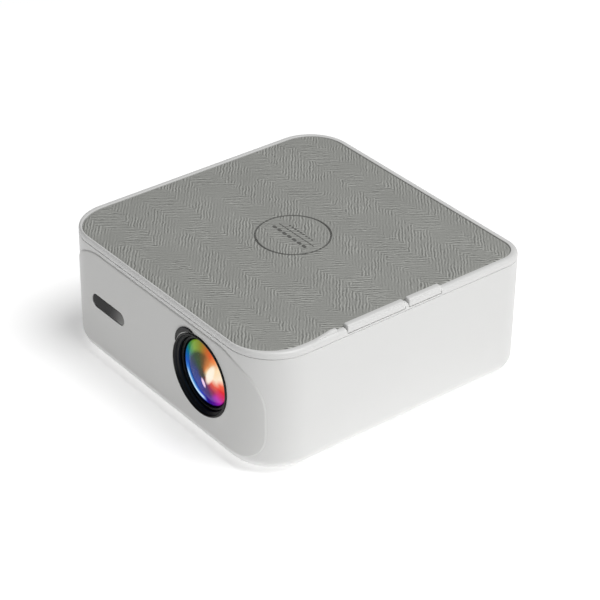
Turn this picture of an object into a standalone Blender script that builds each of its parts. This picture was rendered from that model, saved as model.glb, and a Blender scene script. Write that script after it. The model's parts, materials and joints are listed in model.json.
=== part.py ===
"""Home projector: a low square box with a fabric lid, a lens at the front right, and inside it
the single-panel light engine, the fans, the boards, the speakers and the sockets.

Metres, +Z up. The front looks along -Y and the lens is on the +X side. The origin is the
middle of the footprint, on the surface that the rubber feet stand on.
"""

import math

import bmesh
import bpy
from mathutils import Matrix, Vector

MM = 0.001
GAP = 0.3 * MM  # air left between two pieces that touch
BREAK_OUT = 2 * MM  # how far a cutter runs past the face it opens
BITE = 0.5 * MM  # how deep a joined boss starts inside the wall that carries it

# Casing
BODY_WIDTH = 220 * MM
BODY_DEPTH = 218.2 * MM
BODY_HEIGHT = 90.8 * MM
FRONT_LEFT_RADIUS = 30 * MM
FRONT_RIGHT_RADIUS = 34.3 * MM
BACK_LEFT_RADIUS = 32 * MM
BACK_RIGHT_RADIUS = 19 * MM
SHARPEST_CORNER = 1 * MM
WALL = 3.2 * MM
BOTTOM_EDGE_RADIUS = 12 * MM
TOP_EDGE_RADIUS = 3 * MM
CORNER_STEPS = 8
EDGE_STEPS = 5
COVER_HEIGHT = 4.4 * MM  # how much of the side belongs to the top cover
SEAM = 0.6 * MM  # the dark line between the body and the top cover
RIM_WIDTH = 4.8 * MM
FRONT_RIM_WIDTH = 1.6 * MM
FABRIC_DEPTH = 1.8 * MM  # from the rim's top to the floor that the fabric panel lies on
DECK_THICKNESS = 1.8 * MM
COVER_LIP_WIDTH = 2 * MM
COVER_LIP_DEPTH = 4 * MM
EMBLEM_RADIUS = 25 * MM
EMBLEM_WIDTH = 0.8 * MM
EMBLEM_THICKNESS = 0.9 * MM
BASE_INSET = 18 * MM
BASE_LEDGE = 6 * MM
BASE_REBATE = 1.8 * MM
FOOT_PROUD = 2 * MM

# Front panel, focus ring and lens
PANEL_WRAP = math.radians(46)
PANEL_PROUD = 0.6 * MM
PANEL_THICKNESS = 1.8 * MM
PANEL_BOTTOM = 10 * MM
PANEL_BELOW_TOP = 7.3 * MM
PANEL_TOP_RADIUS = 39 * MM
PANEL_BOTTOM_RADIUS = 18.5 * MM
PANEL_STEPS = 8
LENS_FROM_SIDE = 63.7 * MM
LENS_HEIGHT = 50.1 * MM
RING_RADIUS = 28.2 * MM
RING_PROUD = 1.6 * MM
RING_BORE = 26.6 * MM  # at the mouth of the funnel
RING_BEVEL = 0.6 * MM
RING_LENGTH = 12 * MM
TAB_REACH = 5 * MM
TAB_MIDDLE = math.radians(126)
TAB_SPAN = math.radians(50)
GLASS_RADIUS = 23 * MM
GLASS_DEPTH = 3.2 * MM  # from the casing's front to the barrel's front edge
BARREL_WALL = 1.6 * MM
BARREL_LENGTH = 46 * MM
BARREL_CLEARANCE = 0.4 * MM
FRONT_LENS_THICKNESS = 9 * MM
DOME_EDGE = 2.2 * MM  # from the barrel's front edge back to the glass's rim
DOME_HEIGHT = 4.2 * MM
REAR_LENS_THICKNESS = 7 * MM
SLEEVE_WALL = 2.6 * MM
FLANGE_RADIUS = 33 * MM
FLANGE_THICKNESS = 3 * MM
ROUND_STEPS = 40
WINDOW_LEFT = -74.4 * MM
WINDOW_WIDTH = 36.5 * MM
WINDOW_HEIGHT = 9.4 * MM
WINDOW_CENTRE = 46.4 * MM
WINDOW_SUNK = 0.2 * MM  # behind the front panel's face
EYE_RADIUS = 3 * MM
EYE_LENGTH = 5 * MM

# Key strip in the rim, on the right
KEY_RAISE = 2.7 * MM
KEY_TRAVEL = 0.5 * MM
KEY_SPACE = 0.4 * MM
ROCKER_START = -43 * MM
ROCKER_LENGTH = 46 * MM
POWER_LENGTH = 26.6 * MM
KEY_BRIDGE = 3.4 * MM  # the rim left standing between the two keys
KEY_INNER_REACH = 8 * MM
KEY_SHELF = 1.2 * MM  # height of the rim left below a key
KEY_CLEARANCE = 0.2 * MM  # air left below a key when it is pressed home
WEB_THICKNESS = 1.1 * MM
STEM_SIZE = 3 * MM
SWITCH_SIZE = 6 * MM
SWITCH_HEIGHT = 1.6 * MM
SWITCH_MARGIN = 0.7 * MM
STEM_BELOW_WEB = 1.6 * MM
SWITCH_SPACE = 0.1 * MM  # between a pressed stem and its switch
ROCKER_STEM = 4 * MM  # from the rocker key's ends to its stems
KEY_END_DROP = 1.2 * MM
KEY_SIDE = 0.1 * MM  # a key's outer face lies this far inside the casing's
RAMP_START = -67 * MM
RAMP_LENGTH = 17 * MM
RAMP_WIDTH = 2.6 * MM
RAMP_CREST = 5 * MM  # length of the ramp's flatter end

# Light engine
ENGINE_DEPTH = 112 * MM
ENGINE_FROM_BACK = 19 * MM
ENGINE_WALL = 2.5 * MM
ENGINE_FLOOR = 16 * MM
ENGINE_LEG = 10 * MM
ENGINE_LEG_INSET = 14 * MM
ENGINE_REACH = 42 * MM  # how far the engine runs past the lens axis
LID_THICKNESS = 2 * MM
LID_ROOM = 1.9 * MM
LED_THICKNESS = 5 * MM
LED_SIZE = 50 * MM
CONDENSER_RADIUS = 27 * MM
CONDENSER_THICKNESS = 14 * MM
CONDENSER_RIM = 7 * MM
CONDENSER_PROUD = 4 * MM  # how much of it stands outside the engine's wall
LENS_FLAT = 4 * MM  # radius of the flat middle of a lens's face
SHEET_WIDTH = 104 * MM
FRESNEL_THICKNESS = 2 * MM
LCD_THICKNESS = 3 * MM
SHEET_PITCH = 8 * MM
FIRST_SHEET = 22 * MM  # from the engine's left wall to the rear Fresnel sheet
MIRROR_LENGTH = 90 * MM
MIRROR_THICKNESS = 3 * MM

# Cooling
FAN_SIZE = 60 * MM
FAN_THICKNESS = 15 * MM
FAN_BORE = 28 * MM
FAN_HUB = 14 * MM
FAN_BLADES = 7
HEATSINK_DEPTH = 20 * MM
HEATSINK_BASE = 4 * MM
HEATSINK_FINS = 11
FIN_THICKNESS = 1.2 * MM
BLOWER_SIZE = 50 * MM
BLOWER_BORE = 21 * MM
BLOWER_BLADES = 12
BLOWER_FLOOR = 1.5 * MM
BLOWER_THICKNESS = 14 * MM
SIDE_GRILLE_WIDTH = 84 * MM
SIDE_GRILLE_HEIGHT = 52 * MM
SIDE_GRILLE_SHIFT = 12 * MM  # from the engine's middle towards the front
GRILLE_SUNK = 0.3 * MM
GRILLE_SLOT = 2.4 * MM
GRILLE_PITCH = 4.6 * MM
GRILLE_BORDER = 4 * MM
FILTER_WIDTH = 40 * MM
FILTER_HEIGHT = 50 * MM
FILTER_THICKNESS = 5 * MM
FILTER_LEFT = -74 * MM

# Rear panel, sockets and boards
REAR_PANEL_LEFT = -26 * MM
REAR_PANEL_WIDTH = 112 * MM
REAR_PANEL_BOTTOM = 18 * MM
REAR_PANEL_HEIGHT = 32 * MM
REAR_PANEL_THICKNESS = 2.4 * MM
REAR_PANEL_SUNK = 0.4 * MM
SOCKET_DEPTH = 15.5 * MM
SOCKET_SUNK = 0.6 * MM
SOCKET_WALL = 0.6 * MM
HDMI_SIZE = (15.2 * MM, 6.0 * MM)
USB_SIZE = (14.4 * MM, 7.0 * MM)
JACK_RADIUS = 3.4 * MM
JACK_BORE = 1.8 * MM
INLET_SIZE = (21 * MM, 12 * MM)
INLET_WALL = 2 * MM
INLET_PIN_RADIUS = 1.2 * MM
INLET_PIN_SPACING = 8.6 * MM
INLET_PIN_LENGTH = 9 * MM
SOCKET_FLOOR = 4 * MM
JACK_FLOOR = 3 * MM
SOCKET_ROWS = 14 * MM  # between the upper and the lower row
HDMI_FROM_LEFT = 14 * MM
USB_FROM_LEFT = 38 * MM
JACKS_FROM_LEFT = 60 * MM
INLET_FROM_LEFT = 94 * MM
BOARD_MARGIN = 2 * MM
BOARD_THICKNESS = 1.6 * MM
POWER_BOARD_LEFT = -70 * MM
POWER_BOARD_WIDTH = 52 * MM
POWER_BOARD_FROM_WALL = 9 * MM
POWER_BOARD_FROM_ENGINE = 8 * MM
TRANSFORMER_SIZE = 24 * MM
TRANSFORMER_HEIGHT = 20 * MM
TRANSFORMER_FROM_LEFT = 14 * MM
CAN_RADIUS = 7 * MM
CAN_HEIGHT = 24 * MM
CAN_FROM_SIDE = 9 * MM
CAN_FROM_END = 11 * MM
SPEAKER_WIDTH = 22 * MM
SPEAKER_LENGTH = 44 * MM
SPEAKER_TOP = 48 * MM
SPEAKER_FROM_ENGINE = 9 * MM
SPEAKER_MARGIN = 0.5 * MM
CONE_RADIUS = 10 * MM
CONE_MIDDLE = 4 * MM
CONE_DEPTH = 3 * MM
CONE_EDGE = 0.5 * MM

# Underside
RUBBER_FOOT_RADIUS = 8 * MM
RUBBER_FOOT_X = 72 * MM
RUBBER_FOOT_Y = 76 * MM
WHEEL_RADIUS = 12 * MM
WHEEL_HEIGHT = 6.6 * MM
WHEEL_NOTCHES = 12
NOTCH_RADIUS = 1.2 * MM
LEG_RADIUS = 4 * MM
LEG_LENGTH = 18 * MM
LEG_FROM_FRONT = 40 * MM
LEG_SHOWS = 1.6 * MM
TRIPOD_OUTER = 6 * MM
TRIPOD_BORE = 3.175 * MM
TRIPOD_DEPTH = 7.5 * MM
TRIPOD_WALL = 3 * MM
TRIPOD_ROOF = 2 * MM
TRIPOD_FORWARD = 6 * MM  # from the middle towards the front
CUP_WALL = 2.2 * MM
CUP_ROOF = 2 * MM
SPEAKER_SLOT_LENGTH = 22 * MM
SPEAKER_SLOT_SPAN = 12 * MM
SPEAKER_SLOT_INSET = 2 * MM  # from the base's ledge
SCREW_SHANK = 1.3 * MM
SCREW_HEAD = 2.8 * MM
SCREW_LENGTH = 8 * MM
BOSS_RADIUS = 4 * MM
BOSS_HEIGHT = 10 * MM

# Places worked out from the sizes above
MIDDLE_Y = RING_PROUD / 2  # the ring stands proud, and the origin is the middle of the whole
FRONT_Y = MIDDLE_Y - BODY_DEPTH / 2
BACK_Y = MIDDLE_Y + BODY_DEPTH / 2
RIGHT_X = BODY_WIDTH / 2
LEFT_X = -BODY_WIDTH / 2
BASE_Z = FOOT_PROUD
TOP_Z = BASE_Z + BODY_HEIGHT
LENS_X = RIGHT_X - LENS_FROM_SIDE
LENS_Z = BASE_Z + LENS_HEIGHT
BARREL_RADIUS = GLASS_RADIUS + GAP + BARREL_WALL
SLEEVE_BORE = BARREL_RADIUS + BARREL_CLEARANCE
COVER_Z = TOP_Z - COVER_HEIGHT
DECK_TOP = TOP_Z - FABRIC_DEPTH
DECK_BOTTOM = DECK_TOP - DECK_THICKNESS
KEY_INNER_X = RIGHT_X - RIM_WIDTH
SHELF_Z = COVER_Z + KEY_SHELF
KEY_BAR_Z = SHELF_Z + KEY_TRAVEL + KEY_CLEARANCE
KEY_WEB_TOP = DECK_TOP - GAP
KEY_WEB_Z = KEY_WEB_TOP - WEB_THICKNESS
ENGINE_BACK = BACK_Y - ENGINE_FROM_BACK
ENGINE_FRONT = ENGINE_BACK - ENGINE_DEPTH
ENGINE_MIDDLE_Y = (ENGINE_FRONT + ENGINE_BACK) / 2
FAN_X = LEFT_X + WALL + GAP
HEATSINK_X = FAN_X + FAN_THICKNESS + GAP
LED_X = HEATSINK_X + HEATSINK_DEPTH + GAP
CONDENSER_X = LED_X + LED_THICKNESS + GAP
ENGINE_LEFT = CONDENSER_X + CONDENSER_PROUD
ENGINE_RIGHT = LENS_X + ENGINE_REACH
ENGINE_Z = BASE_Z + ENGINE_FLOOR
SPEAKER_INSET = BOTTOM_EDGE_RADIUS + SPEAKER_MARGIN
SPEAKER_BACK = ENGINE_FRONT - SPEAKER_FROM_ENGINE
INSIDE_Z = BASE_Z + WALL + GAP  # what stands on the casing's floor starts here
LID_Z = DECK_BOTTOM - LID_ROOM - LID_THICKNESS
GRILLE_Y = ENGINE_MIDDLE_Y - SIDE_GRILLE_SHIFT
BLOWER_Z = (BASE_Z + DECK_BOTTOM) / 2  # half-way up the room inside
FILTER_X = FILTER_LEFT + FILTER_WIDTH / 2
FILTER_Z = BASE_Z + BODY_HEIGHT / 2
SHEET_Z = ENGINE_Z + ENGINE_WALL + GAP
SHEET_HEIGHT = LID_Z - GAP - SHEET_Z
FRONT_RIM_SHARE = FRONT_RIM_WIDTH / RIM_WIDTH
FRONT_FABRIC_SHARE = (FRONT_RIM_WIDTH + GAP) / (RIM_WIDTH + GAP)

PROJECTOR = "projector"

LOOKS = {
    # name: colour, roughness, metallic
    "white_plastic": ((0.80, 0.80, 0.79), 0.42, 0.0),
    "panel_plastic": ((0.72, 0.72, 0.71), 0.40, 0.0),
    "grey_fabric": ((0.27, 0.27, 0.25), 0.85, 0.0),
    "black_plastic": ((0.02, 0.02, 0.02), 0.35, 0.0),
    "smoked_window": ((0.015, 0.015, 0.015), 0.08, 0.0),
    "coated_glass": ((0.10, 0.14, 0.30), 0.05, 0.0),
    "clear_plastic": ((0.75, 0.80, 0.82), 0.10, 0.0),
    "mirror_glass": ((0.90, 0.90, 0.92), 0.03, 1.0),
    "circuit_board": ((0.02, 0.13, 0.06), 0.50, 0.0),
    "aluminium": ((0.70, 0.70, 0.72), 0.38, 1.0),
    "steel": ((0.55, 0.55, 0.57), 0.30, 1.0),
    "dark_rubber": ((0.03, 0.03, 0.03), 0.80, 0.0),
    "filter_foam": ((0.05, 0.05, 0.06), 0.95, 0.0),
}


def look(name):
    """The material called name, made the first time it is asked for."""
    found = bpy.data.materials.get(name)
    if found:
        return found
    colour, roughness, metallic = LOOKS[name]
    made = bpy.data.materials.new(name)
    made.use_nodes = True
    shader = made.node_tree.nodes["Principled BSDF"]
    shader.inputs["Base Color"].default_value = (*colour, 1)
    shader.inputs["Roughness"].default_value = roughness
    shader.inputs["Metallic"].default_value = metallic
    made.diffuse_color = (*colour, 1)
    return made


def solid(name, points, faces, finish, origin=(0, 0, 0)):
    """A closed mesh object with its faces turned outwards and its origin where it is asked for."""
    mesh = bpy.data.meshes.new(name)
    shape = bmesh.new()
    corners = [shape.verts.new(Vector(point) - Vector(origin)) for point in points]
    for face in faces:
        shape.faces.new([corners[index] for index in face])
    bmesh.ops.recalc_face_normals(shape, faces=shape.faces)
    shape.to_mesh(mesh)
    shape.free()
    mesh.shade_smooth()
    mesh.set_sharp_from_angle(angle=math.radians(32))
    made = bpy.data.objects.new(name, mesh)
    made.location = origin
    bpy.context.scene.collection.objects.link(made)
    if finish:
        mesh.materials.append(look(finish))
        made.parent = bpy.data.objects[PROJECTOR]
    return made


def loft(name, rings, finish, origin=(0, 0, 0), tube=False):
    """Rings of points joined in order. A tube's last ring meets its first; else the ends are capped."""
    count = len(rings[0])
    points = [point for ring in rings for point in ring]
    pairs = len(rings) if tube else len(rings) - 1
    faces = []
    for row in range(pairs):
        here = row * count
        there = (row + 1) % len(rings) * count
        for index in range(count):
            after = (index + 1) % count
            faces.append((here + index, here + after, there + after, there + index))
    if not tube:
        faces.append(tuple(range(count))[::-1])
        faces.append(tuple(range((len(rings) - 1) * count, len(rings) * count)))
    return solid(name, points, faces, finish, origin)


def block(name, low, high, finish, origin=(0, 0, 0)):
    """A box from its lowest to its highest corner."""
    rings = [
        [(low[0], low[1], z), (high[0], low[1], z), (high[0], high[1], z), (low[0], high[1], z)]
        for z in (low[2], high[2])
    ]
    return loft(name, rings, finish, origin)


AXES = {
    "X": (Vector((0, 1, 0)), Vector((0, 0, 1)), Vector((1, 0, 0))),
    "Y": (Vector((0, 0, 1)), Vector((1, 0, 0)), Vector((0, 1, 0))),
    "Z": (Vector((1, 0, 0)), Vector((0, 1, 0)), Vector((0, 0, 1))),
}


def turned(name, centre, axis, profile, finish, origin=(0, 0, 0), tube=False, steps=ROUND_STEPS):
    """A profile of (radius, distance along the axis) pairs turned about an axis through centre."""
    across, up, along = AXES[axis]
    rings = []
    for radius, distance in profile:
        ring = []
        for step in range(steps):
            angle = 2 * math.pi * step / steps
            spoke = across * math.cos(angle) + up * math.sin(angle)
            ring.append(Vector(centre) + spoke * radius + along * distance)
        rings.append(ring)
    return loft(name, rings, finish, origin, tube)


def prism(name, outline_points, axis, low, high, finish, origin=(0, 0, 0)):
    """A flat outline carried along an axis. The points are (first, second) across that axis."""
    across, up, along = AXES[axis]
    rings = [[across * a + up * b + along * h for a, b in outline_points] for h in (low, high)]
    return loft(name, rings, finish, origin)


def joined(name, shapes):
    """Several helper shapes made one helper, for a single Boolean."""
    mesh = bpy.data.meshes.new(name)
    whole = bmesh.new()
    for shape in shapes:
        whole.from_mesh(shape.data)
        bpy.data.objects.remove(shape)
    whole.to_mesh(mesh)
    whole.free()
    made = bpy.data.objects.new(name, mesh)
    bpy.context.scene.collection.objects.link(made)
    return made


def boolean(target, helper, operation):
    helper.hide_render = True
    helper.display_type = "WIRE"
    helper.parent = target.parent
    modifier = target.modifiers.new(helper.name, "BOOLEAN")
    modifier.operation = operation
    modifier.solver = "EXACT"
    modifier.object = helper


def cut(target, helper):
    boolean(target, helper, "DIFFERENCE")


def join(target, helper):
    boolean(target, helper, "UNION")


def casing_outline(inset, front_share=1):
    """The casing's plan, moved inwards: four arcs, anticlockwise from the front right.

    Along the front it moves in by only front_share of the inset, so the front corners are elliptical.
    """
    corners = (
        (1, -1, FRONT_RIGHT_RADIUS),
        (1, 1, BACK_RIGHT_RADIUS),
        (-1, 1, BACK_LEFT_RADIUS),
        (-1, -1, FRONT_LEFT_RADIUS),
    )
    points = []
    for number, (side_x, side_y, full_radius) in enumerate(corners):
        inset_y = inset * front_share if side_y < 0 else inset
        radius_x = max(full_radius - inset, SHARPEST_CORNER)
        radius_y = max(full_radius - inset_y, SHARPEST_CORNER)
        centre_x = side_x * (BODY_WIDTH / 2 - inset - radius_x)
        centre_y = MIDDLE_Y + side_y * (BODY_DEPTH / 2 - inset_y - radius_y)
        for step in range(CORNER_STEPS + 1):
            angle = math.radians(90 * (number - 1 + step / CORNER_STEPS))
            x = centre_x + radius_x * math.cos(angle)
            points.append((x, centre_y + radius_y * math.sin(angle)))
    return points


def casing_ring(inset, z, front_share=1):
    return [(x, y, z) for x, y in casing_outline(inset, front_share)]


def corner_point(number, inset):
    """The middle of one corner's arc on the outline at this inset, counted from the front right."""
    return casing_outline(inset)[number * (CORNER_STEPS + 1) + CORNER_STEPS // 2]


def front_point(along, out):
    """A point on the casing's front: along from its middle, round the corner too, and out from it."""
    side = 1 if along >= 0 else -1
    radius = FRONT_RIGHT_RADIUS if side > 0 else FRONT_LEFT_RADIUS
    straight = BODY_WIDTH / 2 - radius
    past = abs(along) - straight
    if past <= 0:
        return along, FRONT_Y - out
    angle = past / radius
    x = side * (straight + (radius + out) * math.sin(angle))
    return x, FRONT_Y + radius - (radius + out) * math.cos(angle)


def panel_rings(inner, outer, grow):
    """The front panel's cross-sections from left to right, between two distances out from the casing."""
    bottom = BASE_Z + PANEL_BOTTOM - grow
    top = TOP_Z - PANEL_BELOW_TOP + grow
    stations = []
    for side, radius in ((-1, FRONT_LEFT_RADIUS), (1, FRONT_RIGHT_RADIUS)):
        reach = BODY_WIDTH / 2 - radius + radius * PANEL_WRAP + grow
        for step in range(PANEL_STEPS + 1):
            from_end = PANEL_TOP_RADIUS * (1 - math.cos(math.pi / 2 * step / PANEL_STEPS))
            stations.append((side * (reach - from_end), from_end))
    rings = []
    for along, from_end in sorted(stations):
        ends = []
        for edge, radius, sign in (
            (bottom, PANEL_BOTTOM_RADIUS, 1),
            (top, PANEL_TOP_RADIUS, -1),
        ):
            short = max(radius - from_end, 0)
            ends.append(edge + sign * (radius - math.sqrt(radius**2 - short**2)))
        x_in, y_in = front_point(along, inner)
        x_out, y_out = front_point(along, outer)
        low, high = ends
        rings.append([(x_in, y_in, low), (x_out, y_out, low), (x_out, y_out, high), (x_in, y_in, high)])
    return rings


def pill(width, height, steps=8):
    """A flat outline with round ends, centred on nothing: (across, up) pairs."""
    radius = height / 2
    points = []
    for side in (1, -1):
        for step in range(steps + 1):
            angle = math.pi * (step / steps - 0.5) + (math.pi if side < 0 else 0)
            across = side * (width / 2 - radius) + radius * math.cos(angle)
            points.append((across, radius * math.sin(angle)))
    return points


def pill_prism(name, centre_x, centre_z, width, height, low_y, high_y, finish):
    """A pill outline in the XZ plane carried along Y."""
    shape = [(centre_z + up, centre_x + across) for across, up in pill(width, height)]
    return prism(name, shape, "Y", low_y, high_y, finish)


def slot_row(name, axis, along_low, along_high, centre, length, depth_low, depth_high):
    """Upright slots side by side, as one cutter through a wall that faces the axis."""
    count = int((along_high - along_low - GRILLE_SLOT) / GRILLE_PITCH) + 1
    first = (along_low + along_high - (count - 1) * GRILLE_PITCH) / 2
    slots = []
    for number in range(count):
        middle = first + number * GRILLE_PITCH
        low, high = middle - GRILLE_SLOT / 2, middle + GRILLE_SLOT / 2
        bottom, top = centre - length / 2, centre + length / 2
        if axis == "X":
            corners = (depth_low, low, bottom), (depth_high, high, top)
        elif axis == "Y":
            corners = (low, depth_low, bottom), (high, depth_high, top)
        else:
            corners = (low, bottom, depth_low), (high, top, depth_high)
        slots.append(block(f"{name}_{number}", *corners, None))
    return joined(name, slots)


def side_grille_box(grow):
    """Lowest and highest corner, in Y and Z, of the opening for the left-hand grille."""
    middle_z = BASE_Z + BODY_HEIGHT / 2
    half_y = SIDE_GRILLE_WIDTH / 2 + grow
    half_z = SIDE_GRILLE_HEIGHT / 2 + grow
    return (GRILLE_Y - half_y, middle_z - half_z), (GRILLE_Y + half_y, middle_z + half_z)


def make_body_shell():
    edge = BOTTOM_EDGE_RADIUS
    rebate_z = BASE_Z + BASE_REBATE
    ledge_inset = BASE_INSET + BASE_LEDGE
    top = COVER_Z - SEAM
    profile = [(BASE_INSET, BASE_Z)]
    for step in range(EDGE_STEPS + 1):
        angle = math.pi / 2 * step / EDGE_STEPS
        profile.append((edge * (1 - math.sin(angle)), BASE_Z + edge * (1 - math.cos(angle))))
    profile += [(0, top), (WALL, top)]
    inner = edge - WALL
    for step in range(EDGE_STEPS, -1, -1):
        angle = math.pi / 2 * step / EDGE_STEPS
        profile.append((edge - inner * math.sin(angle), BASE_Z + edge - inner * math.cos(angle)))
    profile += [(ledge_inset, BASE_Z + WALL), (ledge_inset, rebate_z), (BASE_INSET, rebate_z)]
    shell = loft("body_shell", [casing_ring(*pair) for pair in profile], "white_plastic", tube=True)

    bosses = []
    holes = []
    for number in range(4):
        x, y = corner_point(number, BASE_INSET + BASE_LEDGE / 2)
        foot = (x, y, rebate_z)
        boss = [(BOSS_RADIUS, BITE), (BOSS_RADIUS, BOSS_HEIGHT)]
        bosses.append(turned("boss", foot, "Z", boss, None, steps=16))
        bore = SCREW_SHANK + GAP
        depth = SCREW_LENGTH + GAP
        holes.append(turned("hole", foot, "Z", [(bore, -BREAK_OUT), (bore, depth)], None, steps=12))
    join(shell, joined("screw_bosses", bosses))
    cut(shell, joined("screw_holes", holes))

    recess = PANEL_PROUD - PANEL_THICKNESS - GAP
    cut(shell, loft("panel_recess", panel_rings(recess, BREAK_OUT, GAP), None))
    centre = (LENS_X, FRONT_Y, LENS_Z)
    bore = RING_RADIUS + GAP
    cut(shell, turned("lens_opening", centre, "Y", [(bore, -BREAK_OUT), (bore, WALL + BREAK_OUT)], None))
    window = WINDOW_WIDTH + 2 * GAP, WINDOW_HEIGHT + 2 * GAP
    place = WINDOW_LEFT + WINDOW_WIDTH / 2, BASE_Z + WINDOW_CENTRE
    depths = FRONT_Y - BREAK_OUT, FRONT_Y + WALL + BREAK_OUT
    cut(shell, pill_prism("window_opening", *place, *window, *depths, None))

    (low_y, low_z), (high_y, high_z) = side_grille_box(GAP)
    low = LEFT_X - BREAK_OUT, low_y, low_z
    high = LEFT_X + WALL + BREAK_OUT, high_y, high_z
    cut(shell, block("grille_opening", low, high, None))
    low = REAR_PANEL_LEFT - GAP, BACK_Y - WALL - BREAK_OUT, BASE_Z + REAR_PANEL_BOTTOM - GAP
    high = (
        REAR_PANEL_LEFT + REAR_PANEL_WIDTH + GAP,
        BACK_Y + BREAK_OUT,
        BASE_Z + REAR_PANEL_BOTTOM + REAR_PANEL_HEIGHT + GAP,
    )
    cut(shell, block("rear_opening", low, high, None))
    half_x = FILTER_WIDTH / 2 + GAP
    half_z = FILTER_HEIGHT / 2 + GAP
    low = FILTER_X - half_x, BACK_Y - WALL - BREAK_OUT, FILTER_Z - half_z
    high = FILTER_X + half_x, BACK_Y + BREAK_OUT, FILTER_Z + half_z
    cut(shell, block("filter_opening", low, high, None))


def key_spans():
    """Start and end along Y of the rocker key and of the power key."""
    rocker_start = MIDDLE_Y + ROCKER_START
    rocker_end = rocker_start + ROCKER_LENGTH
    power_start = rocker_end + KEY_BRIDGE
    return (rocker_start, rocker_end), (power_start, power_start + POWER_LENGTH)


def make_top_cover():
    lip_low = COVER_Z - COVER_LIP_DEPTH
    lip_out = WALL + GAP
    lip_in = lip_out + COVER_LIP_WIDTH
    profile = [
        (lip_in, DECK_BOTTOM),
        (lip_in, lip_low),
        (lip_out, lip_low),
        (lip_out, COVER_Z),
        (0, COVER_Z),
    ]
    rim = []
    edge = TOP_EDGE_RADIUS
    for step in range(EDGE_STEPS + 1):
        angle = math.pi / 2 * step / EDGE_STEPS
        rim.append((edge * (1 - math.cos(angle)), TOP_Z - edge + edge * math.sin(angle)))
    rim += [(RIM_WIDTH, TOP_Z), (RIM_WIDTH, DECK_TOP)]
    rings = [casing_ring(*pair) for pair in profile]
    rings += [casing_ring(*pair, FRONT_RIM_SHARE) for pair in rim]
    cover = loft("top_cover", rings, "white_plastic")
    notch = [(RING_RADIUS + GAP, -BREAK_OUT), (RING_RADIUS + GAP, lip_in + BREAK_OUT)]
    cut(cover, turned("ring_notch", (LENS_X, FRONT_Y, LENS_Z), "Y", notch, None))

    web_floor = KEY_WEB_Z - KEY_TRAVEL - KEY_CLEARANCE
    cuts = {
        # name: right-hand side, floor
        "ledge": (RIGHT_X + BREAK_OUT, SHELF_Z),
        "web_room": (KEY_INNER_X + BITE + GAP, web_floor),
        "well": (RIGHT_X - lip_in - BITE, DECK_BOTTOM - BREAK_OUT),
    }
    for key, (start, end) in zip(("rocker", "power"), key_spans()):
        low = KEY_INNER_X - KEY_INNER_REACH, start - KEY_SPACE
        for name, (right, floor) in cuts.items():
            high = right, end + KEY_SPACE, TOP_Z + BREAK_OUT
            cut(cover, block(f"{key}_{name}", (*low, floor), high, None))

    start = MIDDLE_Y + RAMP_START
    end = start + RAMP_LENGTH
    slope = [
        (start, TOP_Z - BITE),
        (end, TOP_Z - BITE),
        (end, TOP_Z + KEY_RAISE * 0.9),
        (end - RAMP_CREST, TOP_Z + KEY_RAISE * 0.75),
        (start, TOP_Z - BITE / 2),
    ]
    ramp_in = RIGHT_X - RIM_WIDTH + 0.1 * MM
    join(cover, prism("ramp", slope, "X", ramp_in, ramp_in + RAMP_WIDTH, None))


def make_fabric_panel():
    inset = RIM_WIDTH + GAP
    low = DECK_TOP + GAP
    high = TOP_Z - 0.2 * MM
    sections = [(inset, low), (inset, high - 0.4 * MM), (inset + 0.5 * MM, high)]
    rings = [casing_ring(*pair, FRONT_FABRIC_SHARE) for pair in sections]
    panel = loft("fabric_panel", rings, "grey_fabric")
    groove = EMBLEM_WIDTH / 2 + GAP
    floor = high - EMBLEM_THICKNESS
    profile = [
        (EMBLEM_RADIUS - groove, floor),
        (EMBLEM_RADIUS + groove, floor),
        (EMBLEM_RADIUS + groove, high + BREAK_OUT),
        (EMBLEM_RADIUS - groove, high + BREAK_OUT),
    ]
    cut(panel, turned("emblem_groove", (0, MIDDLE_Y, 0), "Z", profile, None, tube=True))
    half = EMBLEM_WIDTH / 2
    low_z = floor + GAP
    high_z = high + 0.1 * MM
    profile = [
        (EMBLEM_RADIUS - half, low_z),
        (EMBLEM_RADIUS + half, low_z),
        (EMBLEM_RADIUS + half, high_z),
        (EMBLEM_RADIUS - half, high_z),
    ]
    turned("emblem_ring", (0, MIDDLE_Y, 0), "Z", profile, "black_plastic", tube=True)


def make_front_panel():
    rings = panel_rings(PANEL_PROUD - PANEL_THICKNESS, PANEL_PROUD, 0)
    panel = loft("front_panel", rings, "panel_plastic")
    centre = (LENS_X, FRONT_Y, LENS_Z)
    bore = RING_RADIUS + GAP
    cut(panel, turned("ring_opening", centre, "Y", [(bore, -BREAK_OUT), (bore, WALL + BREAK_OUT)], None))
    place = WINDOW_LEFT + WINDOW_WIDTH / 2, BASE_Z + WINDOW_CENTRE
    grown = WINDOW_WIDTH + 2 * GAP, WINDOW_HEIGHT + 2 * GAP
    depths = FRONT_Y - BREAK_OUT, FRONT_Y + WALL + BREAK_OUT
    cut(panel, pill_prism("panel_window_opening", *place, *grown, *depths, None))
    front = FRONT_Y - PANEL_PROUD + WINDOW_SUNK
    size = WINDOW_WIDTH, WINDOW_HEIGHT
    pill_prism("ir_window", *place, *size, front, FRONT_Y + WALL, "smoked_window")
    low = place[0] - size[0] / 2, FRONT_Y + WALL + GAP, place[1] - size[1]
    high = place[0] + size[0] / 2, FRONT_Y + WALL + GAP + BOARD_THICKNESS, place[1] + size[1]
    board = block("ir_receiver_board", low, high, "circuit_board")
    eye = (place[0], high[1] - BITE, place[1])
    stem = [(EYE_RADIUS, 0), (EYE_RADIUS, EYE_LENGTH)]
    join(board, turned("receiver_eye", eye, "Y", stem, None, steps=12))


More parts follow.
